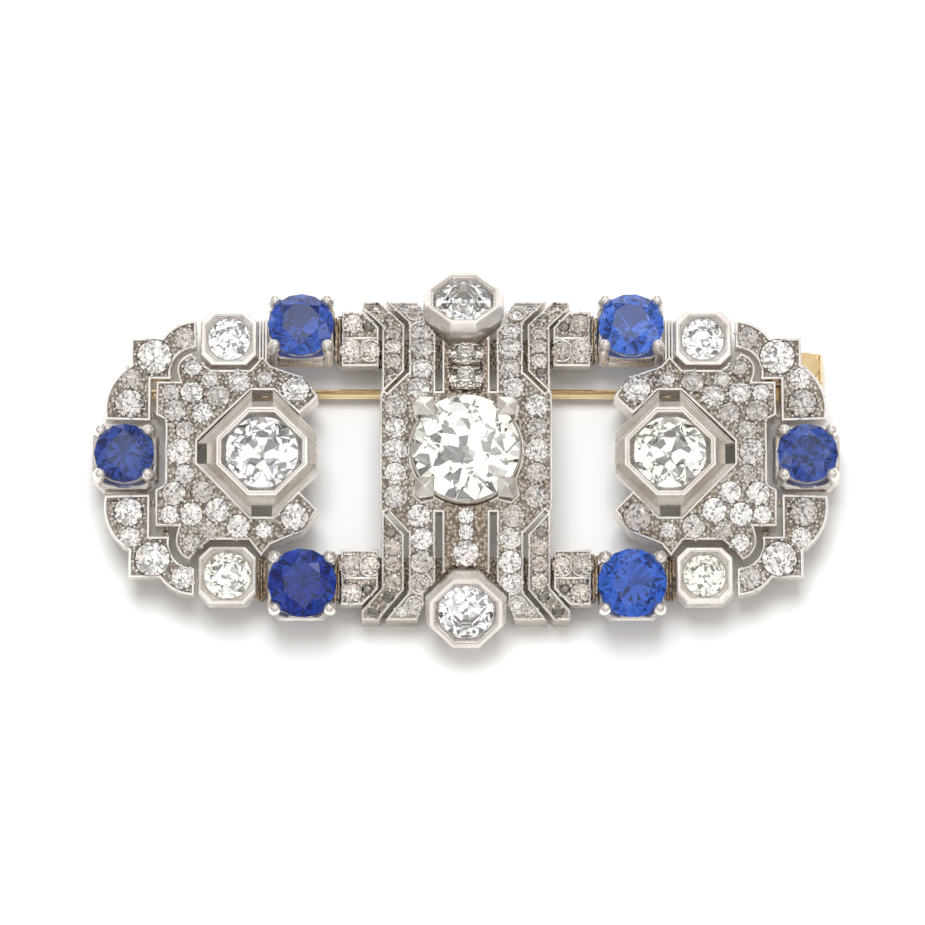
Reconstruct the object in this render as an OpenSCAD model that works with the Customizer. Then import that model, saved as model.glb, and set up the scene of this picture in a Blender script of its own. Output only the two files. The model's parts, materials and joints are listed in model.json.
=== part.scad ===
// Plaque brooch, 58 mm wide, lying on its back: x is its width, y its height and z its depth.
// The origin is on the resting surface, under the middle of the brooch.
// Distances in the tables are measured from the two lines of symmetry.

/* [Heights] */
// Height of the flat face of the outer border above the resting surface
border_top = 3.6; // [3.4:0.1:4]
// Thickness of the flat border
border_t = 1.3; // [1.1:0.1:1.4]
// Height of the crown of the domed end plates
dome_top = 5.9; // [5.6:0.1:6.2]
// Radius of the end plates' dome, about a line along x
dome_r = 19.5; // [18:0.5:22]
// Thickness of the domed end plates
dome_t = 1.2; // [1:0.1:1.4]
// Height of the crown of the arched centre panel
arch_top = 6.4; // [6.2:0.1:6.8]
// Radius of the centre panel's arch, about a line along x
arch_r = 23; // [22:0.5:25]
// Thickness of the arched centre panel
arch_t = 1.3; // [1.1:0.1:1.5]
// Height of the girdle of the centre diamond
centre_girdle_z = 7.4; // [7.2:0.1:7.6]
// Height of the girdles of the sapphires
sapphire_girdle_z = 5.3; // [5.1:0.1:5.5]

/* [Main stones] */
// Radius of the round centre diamond
centre_stone_r = 4.2; // [4:0.05:4.2]
// Radius of the two large octagon-set diamonds
large_stone_r = 3; // [2.8:0.05:3.05]
// Radius of the diamonds at the top and the bottom
small_stone_r = 2.3; // [2.1:0.05:2.35]
// Radius of the four corner diamonds
corner_stone_r = 1.65; // [1.5:0.05:1.65]
// Radius of the four sapphires beside the corner diamonds
sapphire_r = 2.55; // [2.4:0.05:2.55]
// Radius of the two sapphires at the ends
end_sapphire_r = 2.3; // [2.2:0.05:2.4]

/* [Places] */
// Distance of the large octagon-set diamonds from the middle
large_x = 15.75; // [15.6:0.05:15.9]
// Distance of the corner diamonds from the middle, along the width
corner_x = 18.4; // [18.3:0.05:18.5]
// Distance of the corner diamonds from the middle, along the height
corner_y = 9.35; // [9.3:0.05:9.4]
// Distance of the sapphires from the middle, along the width
sapphire_x = 12.8; // [12.75:0.05:12.85]
// Distance of the sapphires from the middle, along the height
sapphire_y = 9.97; // [9.9:0.01:10.05]
// Distance of the end sapphires from the middle
end_sapphire_x = 26.4; // [26.3:0.05:26.5]
// Outward tilt of the four sapphires, in degrees
sapphire_tilt = 10; // [8:1:12]
// Distance of the top and bottom diamonds from the middle
small_y = 12.5; // [12.4:0.05:12.6]
// Place of the top diamond along the width, a little off the middle
top_shift = -0.2; // [-0.25:0.05:0]
// Height of the rims of the top and bottom settings
small_rim_z = 4.6; // [4.5:0.05:4.7]
// Tilt of the top and bottom settings, in degrees
small_tilt = 33; // [31:1:35]

/* [Pin] */
// Radius of the pin stem
pin_r = 0.375; // [0.35:0.005:0.4]
// Place of the pin stem along the height of the brooch
pin_y = 5.6; // [5.5:0.05:5.7]
// Height of the pin stem above the resting surface
pin_z = 1.05; // [1:0.01:1.08]
// Distance from the middle at which the pin stem begins to narrow to its point
pin_point_x = 24.6; // [24.2:0.1:24.7]
// Distance from the middle at which the flat root of the pin stem begins
pin_root_x = 22.4; // [21:0.1:23]
// Width of the pin stem's flat root
pin_root_w = 1.2; // [1:0.05:1.3]
// Height of the pin stem's flat root
pin_root_h = 0.9; // [0.8:0.05:1]
// Distance of the hinge's axis from the middle
hinge_x = 27.1; // [27:0.05:27.2]
// Radius of the hinge's knuckles
knuckle_r = 0.75; // [0.7:0.01:0.78]
// Radius of the rivet that the pin turns on
rivet_r = 0.35; // [0.3:0.01:0.38]

/* [Clearances] */
// Gap round a stone in its seat
seat_gap = 0.04; // [0.03:0.01:0.05]
// Gap between neighbouring settings
piece_gap = 0.05; // [0.04:0.01:0.06]
// Radial clearance of the rivet in the pin's knuckle
rivet_gap = 0.04; // [0.02:0.01:0.06]

/* [Hidden] */

platinum_col = [0.80, 0.77, 0.74];
diamond_col = [0.93, 0.94, 0.95];
sapphire_col = [0.16, 0.27, 0.72];
gold_col = [0.83, 0.68, 0.38];

fine = 64;
coarse = 24;
tall = 20;

// Stones of one half-height of an end plate: x, y, radius
plate_rows = [
    [21.15, 6.9, 0.62], [19.85, 5.95, 0.6], [17.55, 5.7, 0.8], [15.6, 6.0, 0.55], [13.2, 5.0, 0.96],
    [22.85, 4.85, 0.68], [21.2, 4.8, 0.8], [19.15, 4.5, 0.85],
    [22.5, 3.25, 0.8], [20.35, 3.15, 0.85], [21.7, 1.75, 0.75]
];
// The one stone of an end plate that lies on the line of symmetry: x, y, radius
plate_mid_row = [22.1, 0, 0.9];
// Stones of one corner of the border: x, y, radius
border_rows = [[21.9, 9.5, 0.78], [24.2, 8.0, 1.22], [25.95, 6.3, 0.8], [26.1, 4.3, 1.0]];
// Stones of one quarter of the centre panel: x, y, radius
panel_rows = [
    [3.65, 5.05, 0.8], [3.4, 6.75, 0.8], [3.4, 8.45, 0.8], [3.5, 10.02, 0.72],
    [3.95, 11.55, 0.55], [4.95, 12.0, 0.42],
    [5.8, 6.25, 0.4], [5.65, 7.35, 0.56], [5.65, 8.6, 0.56], [5.65, 9.85, 0.56],
    [5.95, 11.0, 0.42], [7.1, 12.0, 0.42],
    [5.45, 1.8, 0.84], [5.45, 3.6, 0.84]
];
// Stones of the centre panel on its line of symmetry across: x, y, radius
panel_side_row = [5.45, 0, 0.84];
// Round stones of the lower centre column: x, y, radius
column_rows = [[0, -5.05, 0.55], [0, -6.25, 0.58], [0, -7.8, 0.9]];
// Cushion-shaped stones of the upper centre column: y, half width, half height
cushion_rows = [[5.8, 1.25, 0.95], [7.85, 1.25, 0.95]];
// Stones of one arm of a bar: x, y, radius
bar_rows = [[7.4, 8.5, 0.72], [9.0, 8.5, 0.72], [7.6, 10.4, 0.4], [8.8, 10.65, 0.68]];

// Half width, half height and cut-corner sum of the octagons: window, rim and base
large_window = [3.12, 3.1, 4.05];
large_rim = [3.45, 3.42, 4.48];
large_base = [4.15, 4.1, 5.5];
small_window = [2.33, 2.33, 3.2];
small_rim = [2.82, 2.82, 3.78];
small_base = [3.22, 3.22, 4.3];
corner_window = [1.72, 1.72, 2.75];
corner_rim = [2.1, 2.1, 3.45];
corner_base = [2.25, 2.25, 3.7];
plate_opening = 5;
plate_opening_sum = 5.9;

large_setting_h = 2.6;
large_rim_z = 6.1;
small_setting_h = 2.6;
corner_setting_h = 1.9;
corner_rim_z = 4.3;
plate_wall = 0.4;
plate_foot_z = 2.4;
border_foot_z = border_top - border_t;
girdle_sink = 0.12;
bearing = 0.24;
seat_depth = 0.3;
seat_waist = 0.72;

boss_x = 20.95;
boss_y = 6.75;
boss_r = 1.45;
boss_slot_r = 1.98;

collet_half = 2.6;
collet_sum = 4.3;
collet_wall = 0.4;
collet_foot_z = 2.3;
collet_top_z = 3.9;
claw_r = 0.36;
claw_tip_r = 0.42;
claw_out = 0.43;
claw_tip_out = 0.31;
claw_tip_up = 0.44;
claw_angles = [43, 137, 223, 317];

centre_collet_r = 4.25;
centre_hole_r = 4.3;
centre_claw_w = 1.6;
bar_inner_x = 6.78;
bar_outer_x = 9.95;

// An octagon with half width a, half height b and diagonal edges at |x| + |y| = s
function octagon(o) =
    let (a = o[0], b = o[1], s = o[2])
    [[a, s - a], [s - b, b], [b - s, b], [-a, s - a], [-a, a - s], [b - s, -b], [s - b, -b], [a, a - s]];

// The same octagon, larger by g on every side
function grown(o, g) = [o[0] + g, o[1] + g, o[2] + g * sqrt(2)];

// The points of a list mirrored in the x axis, in reverse order
function below(list) = [for (i = [len(list) - 1:-1:0]) [list[i][0], -list[i][1]]];

// The points of a list mirrored in the y axis, in reverse order
function leftward(list) = [for (i = [len(list) - 1:-1:0]) [-list[i][0], list[i][1]]];

// The points of an arc
function arc(cx, cy, r, a0, a1, n) =
    [for (i = [0:n]) let (a = a0 + (a1 - a0) * i / n) [cx + r * cos(a), cy + r * sin(a)]];

// The unit vector from p to q
function towards(p, q) = (q - p) / norm(q - p);

// A polygon listed anticlockwise, with every edge moved inwards by t
function inset(list, t) =
    [for (i = [0:len(list) - 1])
        let (p = list[i], n = len(list))
        let (d = towards(list[(i + n - 1) % n], p), e = towards(p, list[(i + 1) % n]))
        let (m = [-d[1], d[0]], k = [-e[1], e[0]])
        p + (m + k) * t / (1 + m * k)];

// The outline of half of an end plate, from the end collet round to the large setting
plate_half = concat(
    [[23.2, 0], [23.2, 2.55], [23.95, 2.95], [23.95, 5.7], [22.15, 5.7]],
    arc(boss_x, boss_y, boss_r, -15, 75, 6),
    [[20.85, 7.55], [19.75, 6.7], [16.75, 6.7], [15.8, 7.9], [15.1, 7.05],
     [12.7, 6.15], [11.45, 4.5], [large_x - 2.85, plate_opening_sum - 2.85],
     [large_x - plate_opening_sum + plate_opening, plate_opening],
     [large_x + plate_opening_sum - plate_opening, plate_opening],
     [large_x + plate_opening, plate_opening_sum - plate_opening]]
);

// The outline of a corner of the border, anticlockwise from the end collet
border_corner = concat(
    arc(23.9, 3.85, 4.12, -12, 59, 8),
    [[26.05, 7.65], [26.05, 9.5]],
    arc(20.95, 7.6, 3.3, 35.2, 90, 6),
    arc(boss_x, boss_y, boss_slot_r, 90, -16, 8),
    [[24.45, 6.22], [24.45, 2.9]]
);

// The outline of a quarter of the centre panel, from the x axis to the y axis
panel_quarter = [
    [6.65, 0], [6.65, 4.5], [6.5, 4.7], [6.5, 10.35], [8.05, 11.95], [8.05, 12.6],
    [3.75, 12.6], [3.45, 11.6], [0, 11.6]
];
panel_right = concat(below(panel_quarter), [for (i = [1:len(panel_quarter) - 1]) panel_quarter[i]]);
panel_outline = concat(
    panel_right,
    [for (i = [1:len(panel_right) - 2]) leftward(panel_right)[i]]
);

// The faces of a ring of points against the next ring of n points above it
function band(n) =
    [for (i = [0:n - 1]) [i, i + n, (i + 1) % n + n, (i + 1) % n]];

// A solid between two lists of points with the same number of corners
module frustum(low, high, z_low, z_high) {
    n = len(low);
    polyhedron(
        points = concat([for (p = low) [p[0], p[1], z_low]], [for (p = high) [p[0], p[1], z_high]]),
        faces = concat([[for (i = [0:n - 1]) i]], [[for (i = [n - 1:-1:0]) i + n]], band(n))
    );
}

// A small stone with a table, eight crown facets and eight pavilion facets, its girdle at z = 0
module small_stone(a, b) {
    n = 8;
    table = 0.55;
    crown = 0.32 * b;
    depth = 0.8 * b;
    ring = [for (i = [0:n - 1]) [a * cos(360 * (i + 0.5) / n), b * sin(360 * (i + 0.5) / n)]];
    polyhedron(
        points = concat(
            [for (p = ring) [p[0], p[1], 0]],
            [for (p = ring) [p[0] * table, p[1] * table, crown]],
            [[0, 0, -depth]]
        ),
        faces = concat(
            [[for (i = [n - 1:-1:0]) i + n]],
            band(n),
            [for (i = [0:n - 1]) [2 * n, i, (i + 1) % n]]
        )
    );
}

// A main stone: an eight-sided table, star and girdle facets, a girdle and a pavilion.
// The top of its girdle is at z = 0.
module main_stone(r, table, crown, depth) {
    n = 8;
    m = 2 * n;
    edge = 0.03 * r;
    polyhedron(
        points = concat(
            [for (i = [0:m - 1]) [r * cos(360 * i / m), r * sin(360 * i / m), -edge]],
            [for (i = [0:m - 1]) [r * cos(360 * i / m), r * sin(360 * i / m), 0]],
            [for (i = [0:n - 1]) [r * table * cos(360 * i / n), r * table * sin(360 * i / n), crown * r]],
            [[0, 0, -depth * r]]
        ),
        faces = concat(
            band(m),
            [[for (i = [n - 1:-1:0]) 2 * m + i]],
            [for (i = [0:n - 1]) [m + 2 * i + 1, 2 * m + i, 2 * m + (i + 1) % n]],
            [for (i = [0:n - 1]) [m + 2 * i, 2 * m + i, m + 2 * i + 1]],
            [for (i = [0:n - 1]) [m + (2 * i + m - 1) % m, 2 * m + i, m + 2 * i]],
            [for (i = [0:m - 1]) [2 * m + n, i, (i + 1) % m]]
        )
    );
}

module diamond(r) color(diamond_col) main_stone(r, 0.5, 0.34, 0.86);
module sapphire(r) color(sapphire_col) main_stone(r, 0.56, 0.32, 0.84);

// A drilled seat for a small stone: a bearing for the girdle and a narrower bore for the pavilion
module seat(r) {
    translate([0, 0, -seat_depth * r]) cylinder(r = r + seat_gap, h = 2, $fn = coarse);
    translate([0, 0, -3]) cylinder(r = seat_waist * r, h = 4, $fn = coarse);
}

// Children moved to one side or the other of the two lines of symmetry
module side(sx, sy) {
    scale_x = sx < 0 ? 1 : 0;
    scale_y = sy < 0 ? 1 : 0;
    mirror([scale_x, 0, 0]) mirror([0, scale_y, 0]) children();
}

// Children set on a cylindrical surface about a line along x
module on_curve(radius, top, x, y) {
    translate([0, 0, top - radius])
        rotate([-asin(y / radius), 0, 0])
            translate([x, 0, radius - girdle_sink]) children();
}

// The solid cylinder below a curved face
module curve_body(radius, top, half) {
    translate([-half, 0, top - radius]) rotate([0, 90, 0]) cylinder(r = radius, h = 2 * half, $fn = fine);
}

// A straight slot from p to q with width w, cut right through
module slot(p, q, w) {
    d = towards(p, q);
    m = [-d[1], d[0]] * w / 2;
    translate([0, 0, -1]) linear_extrude(tall) polygon([p + m, p - m, q - m, q + m]);
}

// End plates
module plate_seats() {
    for (row = plate_rows)
        for (s = [-1, 1])
            on_curve(dome_r, dome_top, row[0], s * row[1]) seat(row[2]);
    on_curve(dome_r, dome_top, plate_mid_row[0], 0) seat(plate_mid_row[2]);
}

module end_plate(sx) {
    rest = [for (i = [1:len(plate_half) - 1]) plate_half[i]];
    whole = concat(plate_half, below(rest));
    side(sx, 1) color(platinum_col)
        difference() {
            intersection() {
                translate([0, 0, plate_foot_z]) linear_extrude(tall) polygon(whole);
                curve_body(dome_r, dome_top, 30);
            }
            intersection() {
                translate([0, 0, plate_foot_z - 1]) linear_extrude(tall) polygon(inset(whole, plate_wall));
                curve_body(dome_r - dome_t, dome_top - dome_t, 30);
            }
            plate_seats();
        }
}

module plate_stones(sx) {
    side(sx, 1) color(diamond_col) {
        for (row = plate_rows)
            for (s = [-1, 1])
                on_curve(dome_r, dome_top, row[0], s * row[1]) small_stone(row[2], row[2]);
        on_curve(dome_r, dome_top, plate_mid_row[0], 0) small_stone(plate_mid_row[2], plate_mid_row[2]);
    }
}

// Outer border
module border_corner_plate(sx, sy) {
    side(sx, sy) color(platinum_col) {
        difference() {
            translate([0, 0, border_foot_z]) linear_extrude(border_t) polygon(border_corner);
            for (row = border_rows)
                translate([row[0], row[1], border_top - girdle_sink]) seat(row[2]);
        }
        // Small bridges that reach across the slots to the end plate's walls
        translate([23.95 + piece_gap, 3.3, border_foot_z + 0.2]) cube([0.6, 0.4, 0.6]);
        translate([23.0, 5.7 + piece_gap, border_foot_z + 0.2]) cube([0.4, 0.6, 0.6]);
    }
}

module border_stones(sx) {
    color(diamond_col)
        for (sy = [-1, 1])
            side(sx, sy)
                for (row = border_rows)
                    translate([row[0], row[1], border_top - girdle_sink]) small_stone(row[2], row[2]);
}

// Bars
module bar(sy) {
    arm = [
        [bar_inner_x, 7.26], [bar_outer_x - 0.3, 7.26], [bar_outer_x - 0.3, 11.6],
        [8.0, 11.6], [bar_inner_x, 10.34]
    ];
    side(1, sy) color(platinum_col) {
        difference() {
            for (sx = [-1, 1])
                side(sx, 1) {
                    translate([0, 0, 2.2]) linear_extrude(border_top - 2.2) polygon(arm);
                    translate([bar_outer_x - 0.4, 7.5, 2.0]) cube([0.4, 3.9, 1.0]);
                    translate([bar_inner_x, 7.5, 0.8]) cube([bar_outer_x - bar_inner_x, 2.3, 1.5]);
                }
            for (sx = [-1, 1])
                side(sx, 1)
                    for (row = bar_rows)
                        translate([row[0], row[1], border_top - girdle_sink]) seat(row[2]);
        }
        // The plain band that passes behind the centre panel
        translate([-bar_inner_x - 0.1, 7.5, 0.8]) cube([2 * bar_inner_x + 0.2, 2.3, 0.9]);
    }
}

module bar_stones(sy) {
    color(diamond_col)
        for (sx = [-1, 1])
            side(sx, sy)
                for (row = bar_rows)
                    translate([row[0], row[1], border_top - girdle_sink]) small_stone(row[2], row[2]);
}

// Centre panel
module panel_slots() {
    for (sx = [-1, 1])
        for (sy = [-1, 1])
            side(sx, sy) {
                slot([2.1, 4.75], [2.1, 10.1], 0.55);
                slot([4.6, 6.3], [4.6, 10.6], 0.38);
                slot([4.6, 6.42], [6.2, 4.72], 0.3);
                slot([4.6, 10.55], [6.6, 12.7], 0.4);
            }
}

module panel_seats() {
    for (sx = [-1, 1]) {
        for (sy = [-1, 1])
            for (row = panel_rows)
                on_curve(arch_r, arch_top, sx * row[0], sy * row[1]) seat(row[2]);
        on_curve(arch_r, arch_top, sx * panel_side_row[0], 0) seat(panel_side_row[2]);
    }
    for (row = column_rows)
        on_curve(arch_r, arch_top, row[0], row[1]) seat(row[2]);
    for (row = cushion_rows)
        on_curve(arch_r, arch_top, 0, row[0]) {
            translate([-row[1] - seat_gap, -row[2] - seat_gap, -seat_depth])
                cube([2 * (row[1] + seat_gap), 2 * (row[2] + seat_gap), 2]);
            translate([-seat_waist * row[1], -seat_waist * row[2], -3])
                cube([2 * seat_waist * row[1], 2 * seat_waist * row[2], 4]);
        }
}

// Where the claws of the centre collet stand
module claw_plan(g) {
    for (a = [45:90:315])
        rotate([0, 0, a])
            polygon([[3.7 - g, 0], [4.45, 0.8 + g], [5.2 + g, 0.3 + g], [5.2 + g, -0.3 - g], [4.45, -0.8 - g]]);
}

module small_place(sy) {
    side(1, sy)
        translate([sy > 0 ? top_shift : 0, small_y, small_rim_z]) rotate([-small_tilt, 0, 0]) children();
}

module centre_panel() {
    color(platinum_col)
        difference() {
            union() {
                intersection() {
                    translate([0, 0, -1]) linear_extrude(tall) polygon(panel_outline);
                    difference() {
                        curve_body(arch_r, arch_top, 10);
                        curve_body(arch_r - arch_t, arch_top - arch_t, 11);
                    }
                }
                // The turned-down ends of the arms, which the brooch rests on
                intersection() {
                    for (sx = [-1, 1])
                        for (sy = [-1, 1])
                            side(sx, sy) translate([3.75, 11.9, 0]) cube([4.3, 0.7, 4]);
                    curve_body(arch_r, arch_top, 10);
                }
            }
            panel_slots();
            panel_seats();
            translate([0, 0, -1]) cylinder(r = centre_hole_r, h = tall, $fn = fine);
            translate([0, 0, -1]) linear_extrude(tall) claw_plan(piece_gap);
            for (sy = [-1, 1])
                small_place(sy)
                    translate([0, 0, -small_setting_h - 3])
                        linear_extrude(tall) polygon(octagon(grown(small_base, piece_gap)));
        }
}

module panel_stones() {
    color(diamond_col) {
        for (sx = [-1, 1]) {
            for (sy = [-1, 1])
                for (row = panel_rows)
                    on_curve(arch_r, arch_top, sx * row[0], sy * row[1]) small_stone(row[2], row[2]);
            on_curve(arch_r, arch_top, sx * panel_side_row[0], 0) small_stone(panel_side_row[2], panel_side_row[2]);
        }
        for (row = column_rows)
            on_curve(arch_r, arch_top, row[0], row[1]) small_stone(row[2], row[2]);
        for (row = cushion_rows)
            on_curve(arch_r, arch_top, 0, row[0]) small_stone(row[1], row[2]);
    }
}

// Octagonal settings: a flared wall with an octagonal window above the girdle and a round seat below.
// The rim is at z = 0.
module octagon_setting(window, rim, base, h, stone_r, girdle_down) {
    difference() {
        frustum(octagon(base), octagon(rim), -h, 0);
        translate([0, 0, -girdle_down]) linear_extrude(tall) polygon(octagon(window));
        translate([0, 0, -girdle_down - bearing * stone_r])
            cylinder(r = stone_r + seat_gap, h = bearing * stone_r, $fn = fine);
        translate([0, 0, -h - 1]) cylinder(r = 0.84 * stone_r, h = h + 0.5, $fn = fine);
    }
}

module large_setting(sx) {
    side(sx, 1) color(platinum_col)
        translate([large_x, 0, large_rim_z]) {
            octagon_setting(large_window, large_rim, large_base, large_setting_h, large_stone_r, 0.7);
            // Bridges to the walls of the end plate: two above, two below and one at the outer side
            for (sx = [-1, 1])
                for (sy = [-1, 1])
                    side(sx, sy)
                        translate([0.55, 3.7, 0.15 - large_setting_h]) cube([0.3, 1.3 - piece_gap, 1]);
            translate([3.75, -0.15, 0.15 - large_setting_h]) cube([1.25 - piece_gap, 0.3, 1]);
        }
}

module small_setting(sy) {
    small_place(sy) color(platinum_col)
        octagon_setting(small_window, small_rim, small_base, small_setting_h, small_stone_r, 0.6);
}

module corner_setting(sx, sy) {
    side(sx, sy) color(platinum_col) {
        translate([corner_x, corner_y, corner_rim_z])
            octagon_setting(corner_window, corner_rim, corner_base, corner_setting_h, corner_stone_r, 0.45);
        // The narrow spacer between this setting and the sapphire's collet
        translate([15.6, 8.5, 2.45]) cube([0.7, 2.1, 0.8]);
    }
}

// Claw collets
module round_claws(r, girdle_z, foot_z) {
    for (a = claw_angles)
        rotate([0, 0, a]) {
            translate([r + claw_out, 0, foot_z])
                cylinder(r = claw_r, h = girdle_z + claw_tip_up - foot_z, $fn = coarse);
            translate([r + claw_tip_out, 0, girdle_z + claw_tip_up]) sphere(r = claw_tip_r, $fn = coarse);
        }
}

module gallery(half, sum) {
    outer = octagon([half, half, sum]);
    difference() {
        linear_extrude(collet_top_z - collet_foot_z) polygon(outer);
        translate([0, 0, -1]) linear_extrude(tall) polygon(inset(outer, collet_wall));
    }
}

module sapphire_place(sx, sy) {
    side(sx, sy)
        translate([sapphire_x, sapphire_y, collet_foot_z])
            rotate([-sapphire_tilt, 0, 0])
                translate([0, 0, -collet_foot_z]) children();
}

module sapphire_collet(sx, sy) {
    sapphire_place(sx, sy) color(platinum_col) {
        translate([0, 0, collet_foot_z]) gallery(collet_half, collet_sum);
        round_claws(sapphire_r, sapphire_girdle_z, collet_foot_z + 0.5);
    }
}

module end_collet(sx) {
    side(sx, 1) translate([end_sapphire_x, 0, 0]) color(platinum_col) {
        translate([0, 0, collet_foot_z]) gallery(collet_half, collet_sum);
        round_claws(end_sapphire_r, sapphire_girdle_z, collet_foot_z + 0.5);
        // The rail under the collet, which carries the two corners of the border
        translate([-2.3, -3.7, border_foot_z - piece_gap - 0.55]) cube([0.8, 7.4, 0.55]);
        translate([-2.3, -2.0, border_foot_z - 0.4]) cube([0.6, 4.0, 0.6]);
    }
}

module centre_collet() {
    color(platinum_col) {
        difference() {
            translate([0, 0, 4.0]) cylinder(r = centre_collet_r, h = 2.6, $fn = fine);
            translate([0, 0, 3.0]) cylinder(r = 3.6, h = 5, $fn = fine);
        }
        // Four large claws, each a plate on edge with a pointed tip bent over the stone
        intersection() {
            for (a = [45:90:315])
                rotate([0, 0, a])
                    translate([0, centre_claw_w / 2, centre_girdle_z]) rotate([90, 0, 0])
                        linear_extrude(centre_claw_w)
                            polygon([
                                [4.0, -3.2], [4.0, -0.85], [4.28, -0.75], [4.28, 0.12], [3.72, 0.53],
                                [3.9, 0.95], [4.5, 0.95], [5.2, 0.3], [5.2, -3.2]
                            ]);
            linear_extrude(tall) claw_plan(0);
        }
    }
}

// Main stones
module large_diamond(sx) side(sx, 1) translate([large_x, 0, large_rim_z - 0.84]) diamond(large_stone_r);
module small_diamond(sy) small_place(sy) translate([0, 0, -0.68]) diamond(small_stone_r);
module corner_diamond(sx, sy)
    side(sx, sy) translate([corner_x, corner_y, corner_rim_z - 0.53]) diamond(corner_stone_r);
module bar_sapphire(sx, sy)
    sapphire_place(sx, sy) translate([0, 0, sapphire_girdle_z]) sapphire(sapphire_r);
module end_sapphire(sx)
    side(sx, 1) translate([end_sapphire_x, 0, sapphire_girdle_z]) sapphire(end_sapphire_r);

// Pin
module along_y(x, z, y0, y1, r) translate([x, y1, z]) rotate([90, 0, 0]) cylinder(r = r, h = y1 - y0, $fn = fine);

ear_low = 3.9;
ear_high = 8.7;
ear_web = 1.1;
knuckle_half = 0.7;
joint_plate_z = border_foot_z - piece_gap;

module pin_joint() {
    color(gold_col) {
        along_y(hinge_x, pin_z, ear_low, pin_y - knuckle_half - piece_gap, knuckle_r);
        along_y(hinge_x, pin_z, pin_y + knuckle_half + piece_gap, ear_high, knuckle_r);
        along_y(hinge_x, pin_z, ear_low, ear_high, rivet_r);
        for (span = [[ear_low, pin_y - knuckle_half - piece_gap], [pin_y + knuckle_half + piece_gap, ear_high]]) {
            translate([25.0, span[0], joint_plate_z - 0.3]) cube([hinge_x - 25.0, span[1] - span[0], 0.3]);
            translate([hinge_x - ear_web / 2, span[0], pin_z])
                cube([ear_web, span[1] - span[0], joint_plate_z - pin_z]);
        }
        translate([25.0, ear_low, joint_plate_z - 0.3]) cube([1.1, ear_high - ear_low, 0.3]);
    }
}

module pin_stem() {
    color(gold_col)
        difference() {
            union() {
                along_y(hinge_x, pin_z, pin_y - knuckle_half, pin_y + knuckle_half, knuckle_r);
                translate([-pin_point_x, pin_y, pin_z]) rotate([0, 90, 0])
                    cylinder(r = pin_r, h = pin_root_x + pin_point_x + 0.1, $fn = fine);
                translate([pin_root_x, pin_y - pin_root_w / 2, pin_z - pin_root_h / 2])
                    cube([hinge_x - knuckle_r - pin_root_x + 0.15, pin_root_w, pin_root_h]);
                translate([-pin_point_x, pin_y, pin_z]) rotate([0, -90, 0])
                    cylinder(r1 = pin_r, r2 = 0.08, h = 2.5, $fn = fine);
            }
            along_y(hinge_x, pin_z, pin_y - 2, pin_y + 2, rivet_r + rivet_gap);
        }
}

catch_r = 0.85;
catch_bore_r = 0.55;
catch_mouth = 0.95;
catch_web = 0.8;

module pin_catch() {
    color(gold_col)
        difference() {
            union() {
                translate([-26.4, pin_y, pin_z]) rotate([0, 90, 0]) cylinder(r = catch_r, h = 1.4, $fn = fine);
                translate([-26.6, pin_y - 0.9, joint_plate_z - 0.3]) cube([1.8, 1.8, 0.3]);
                translate([-26.4, pin_y - catch_web / 2, pin_z]) cube([1.4, catch_web, joint_plate_z - pin_z]);
            }
            translate([-27, pin_y, pin_z]) rotate([0, 90, 0]) cylinder(r = catch_bore_r, h = 3, $fn = fine);
            translate([-27, pin_y - catch_mouth / 2, pin_z - 2]) cube([3, catch_mouth, 2]);
        }
}

centre_panel();
bar(1);  // upper_bar
bar(-1);  // lower_bar
end_plate(-1);  // left_end_plate
end_plate(1);  // right_end_plate
border_corner_plate(-1, 1);  // left_upper_border
border_corner_plate(-1, -1);  // left_lower_border
border_corner_plate(1, 1);  // right_upper_border
border_corner_plate(1, -1);  // right_lower_border
centre_collet();
large_setting(-1);  // left_large_setting
large_setting(1);  // right_large_setting
small_setting(1);  // top_setting
small_setting(-1);  // bottom_setting
corner_setting(-1, 1);  // left_upper_corner_setting
corner_setting(-1, -1);  // left_lower_corner_setting
corner_setting(1, 1);  // right_upper_corner_setting
corner_setting(1, -1);  // right_lower_corner_setting
sapphire_collet(-1, 1);  // left_upper_collet
sapphire_collet(-1, -1);  // left_lower_collet
sapphire_collet(1, 1);  // right_upper_collet
sapphire_collet(1, -1);  // right_lower_collet
end_collet(-1);  // left_end_collet
end_collet(1);  // right_end_collet
translate([0, 0, centre_girdle_z]) diamond(centre_stone_r);  // centre_diamond
large_diamond(-1);  // left_large_diamond
large_diamond(1);  // right_large_diamond
small_diamond(1);  // top_diamond
small_diamond(-1);  // bottom_diamond
corner_diamond(-1, 1);  // left_upper_corner_diamond
corner_diamond(-1, -1);  // left_lower_corner_diamond
corner_diamond(1, 1);  // right_upper_corner_diamond
corner_diamond(1, -1);  // right_lower_corner_diamond
bar_sapphire(-1, 1);  // left_upper_sapphire
bar_sapphire(-1, -1);  // left_lower_sapphire
bar_sapphire(1, 1);  // right_upper_sapphire
bar_sapphire(1, -1);  // right_lower_sapphire
end_sapphire(-1);  // left_end_sapphire
end_sapphire(1);  // right_end_sapphire
plate_stones(-1);  // left_plate_stones
plate_stones(1);  // right_plate_stones
border_stones(-1);  // left_border_stones
border_stones(1);  // right_border_stones
panel_stones();
bar_stones(1);  // upper_bar_stones
bar_stones(-1);  // lower_bar_stones
pin_joint();
pin_stem();
pin_catch();
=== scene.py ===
"""Looks of a plaque brooch: platinum openwork, clear and blue stones, and a gold pin at the back.

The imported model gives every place. Small stones, grains, rims, settings, collets and claws are worked out
here as surfaces over it, in millimetres, and turned into metres when a mesh is made.
"""

import json
import logging
import math
from dataclasses import dataclass, field
from enum import Enum
from functools import cache
from typing import Callable, Sequence

import bpy
import numpy as np
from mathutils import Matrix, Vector
from mathutils.bvhtree import BVHTree


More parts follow.
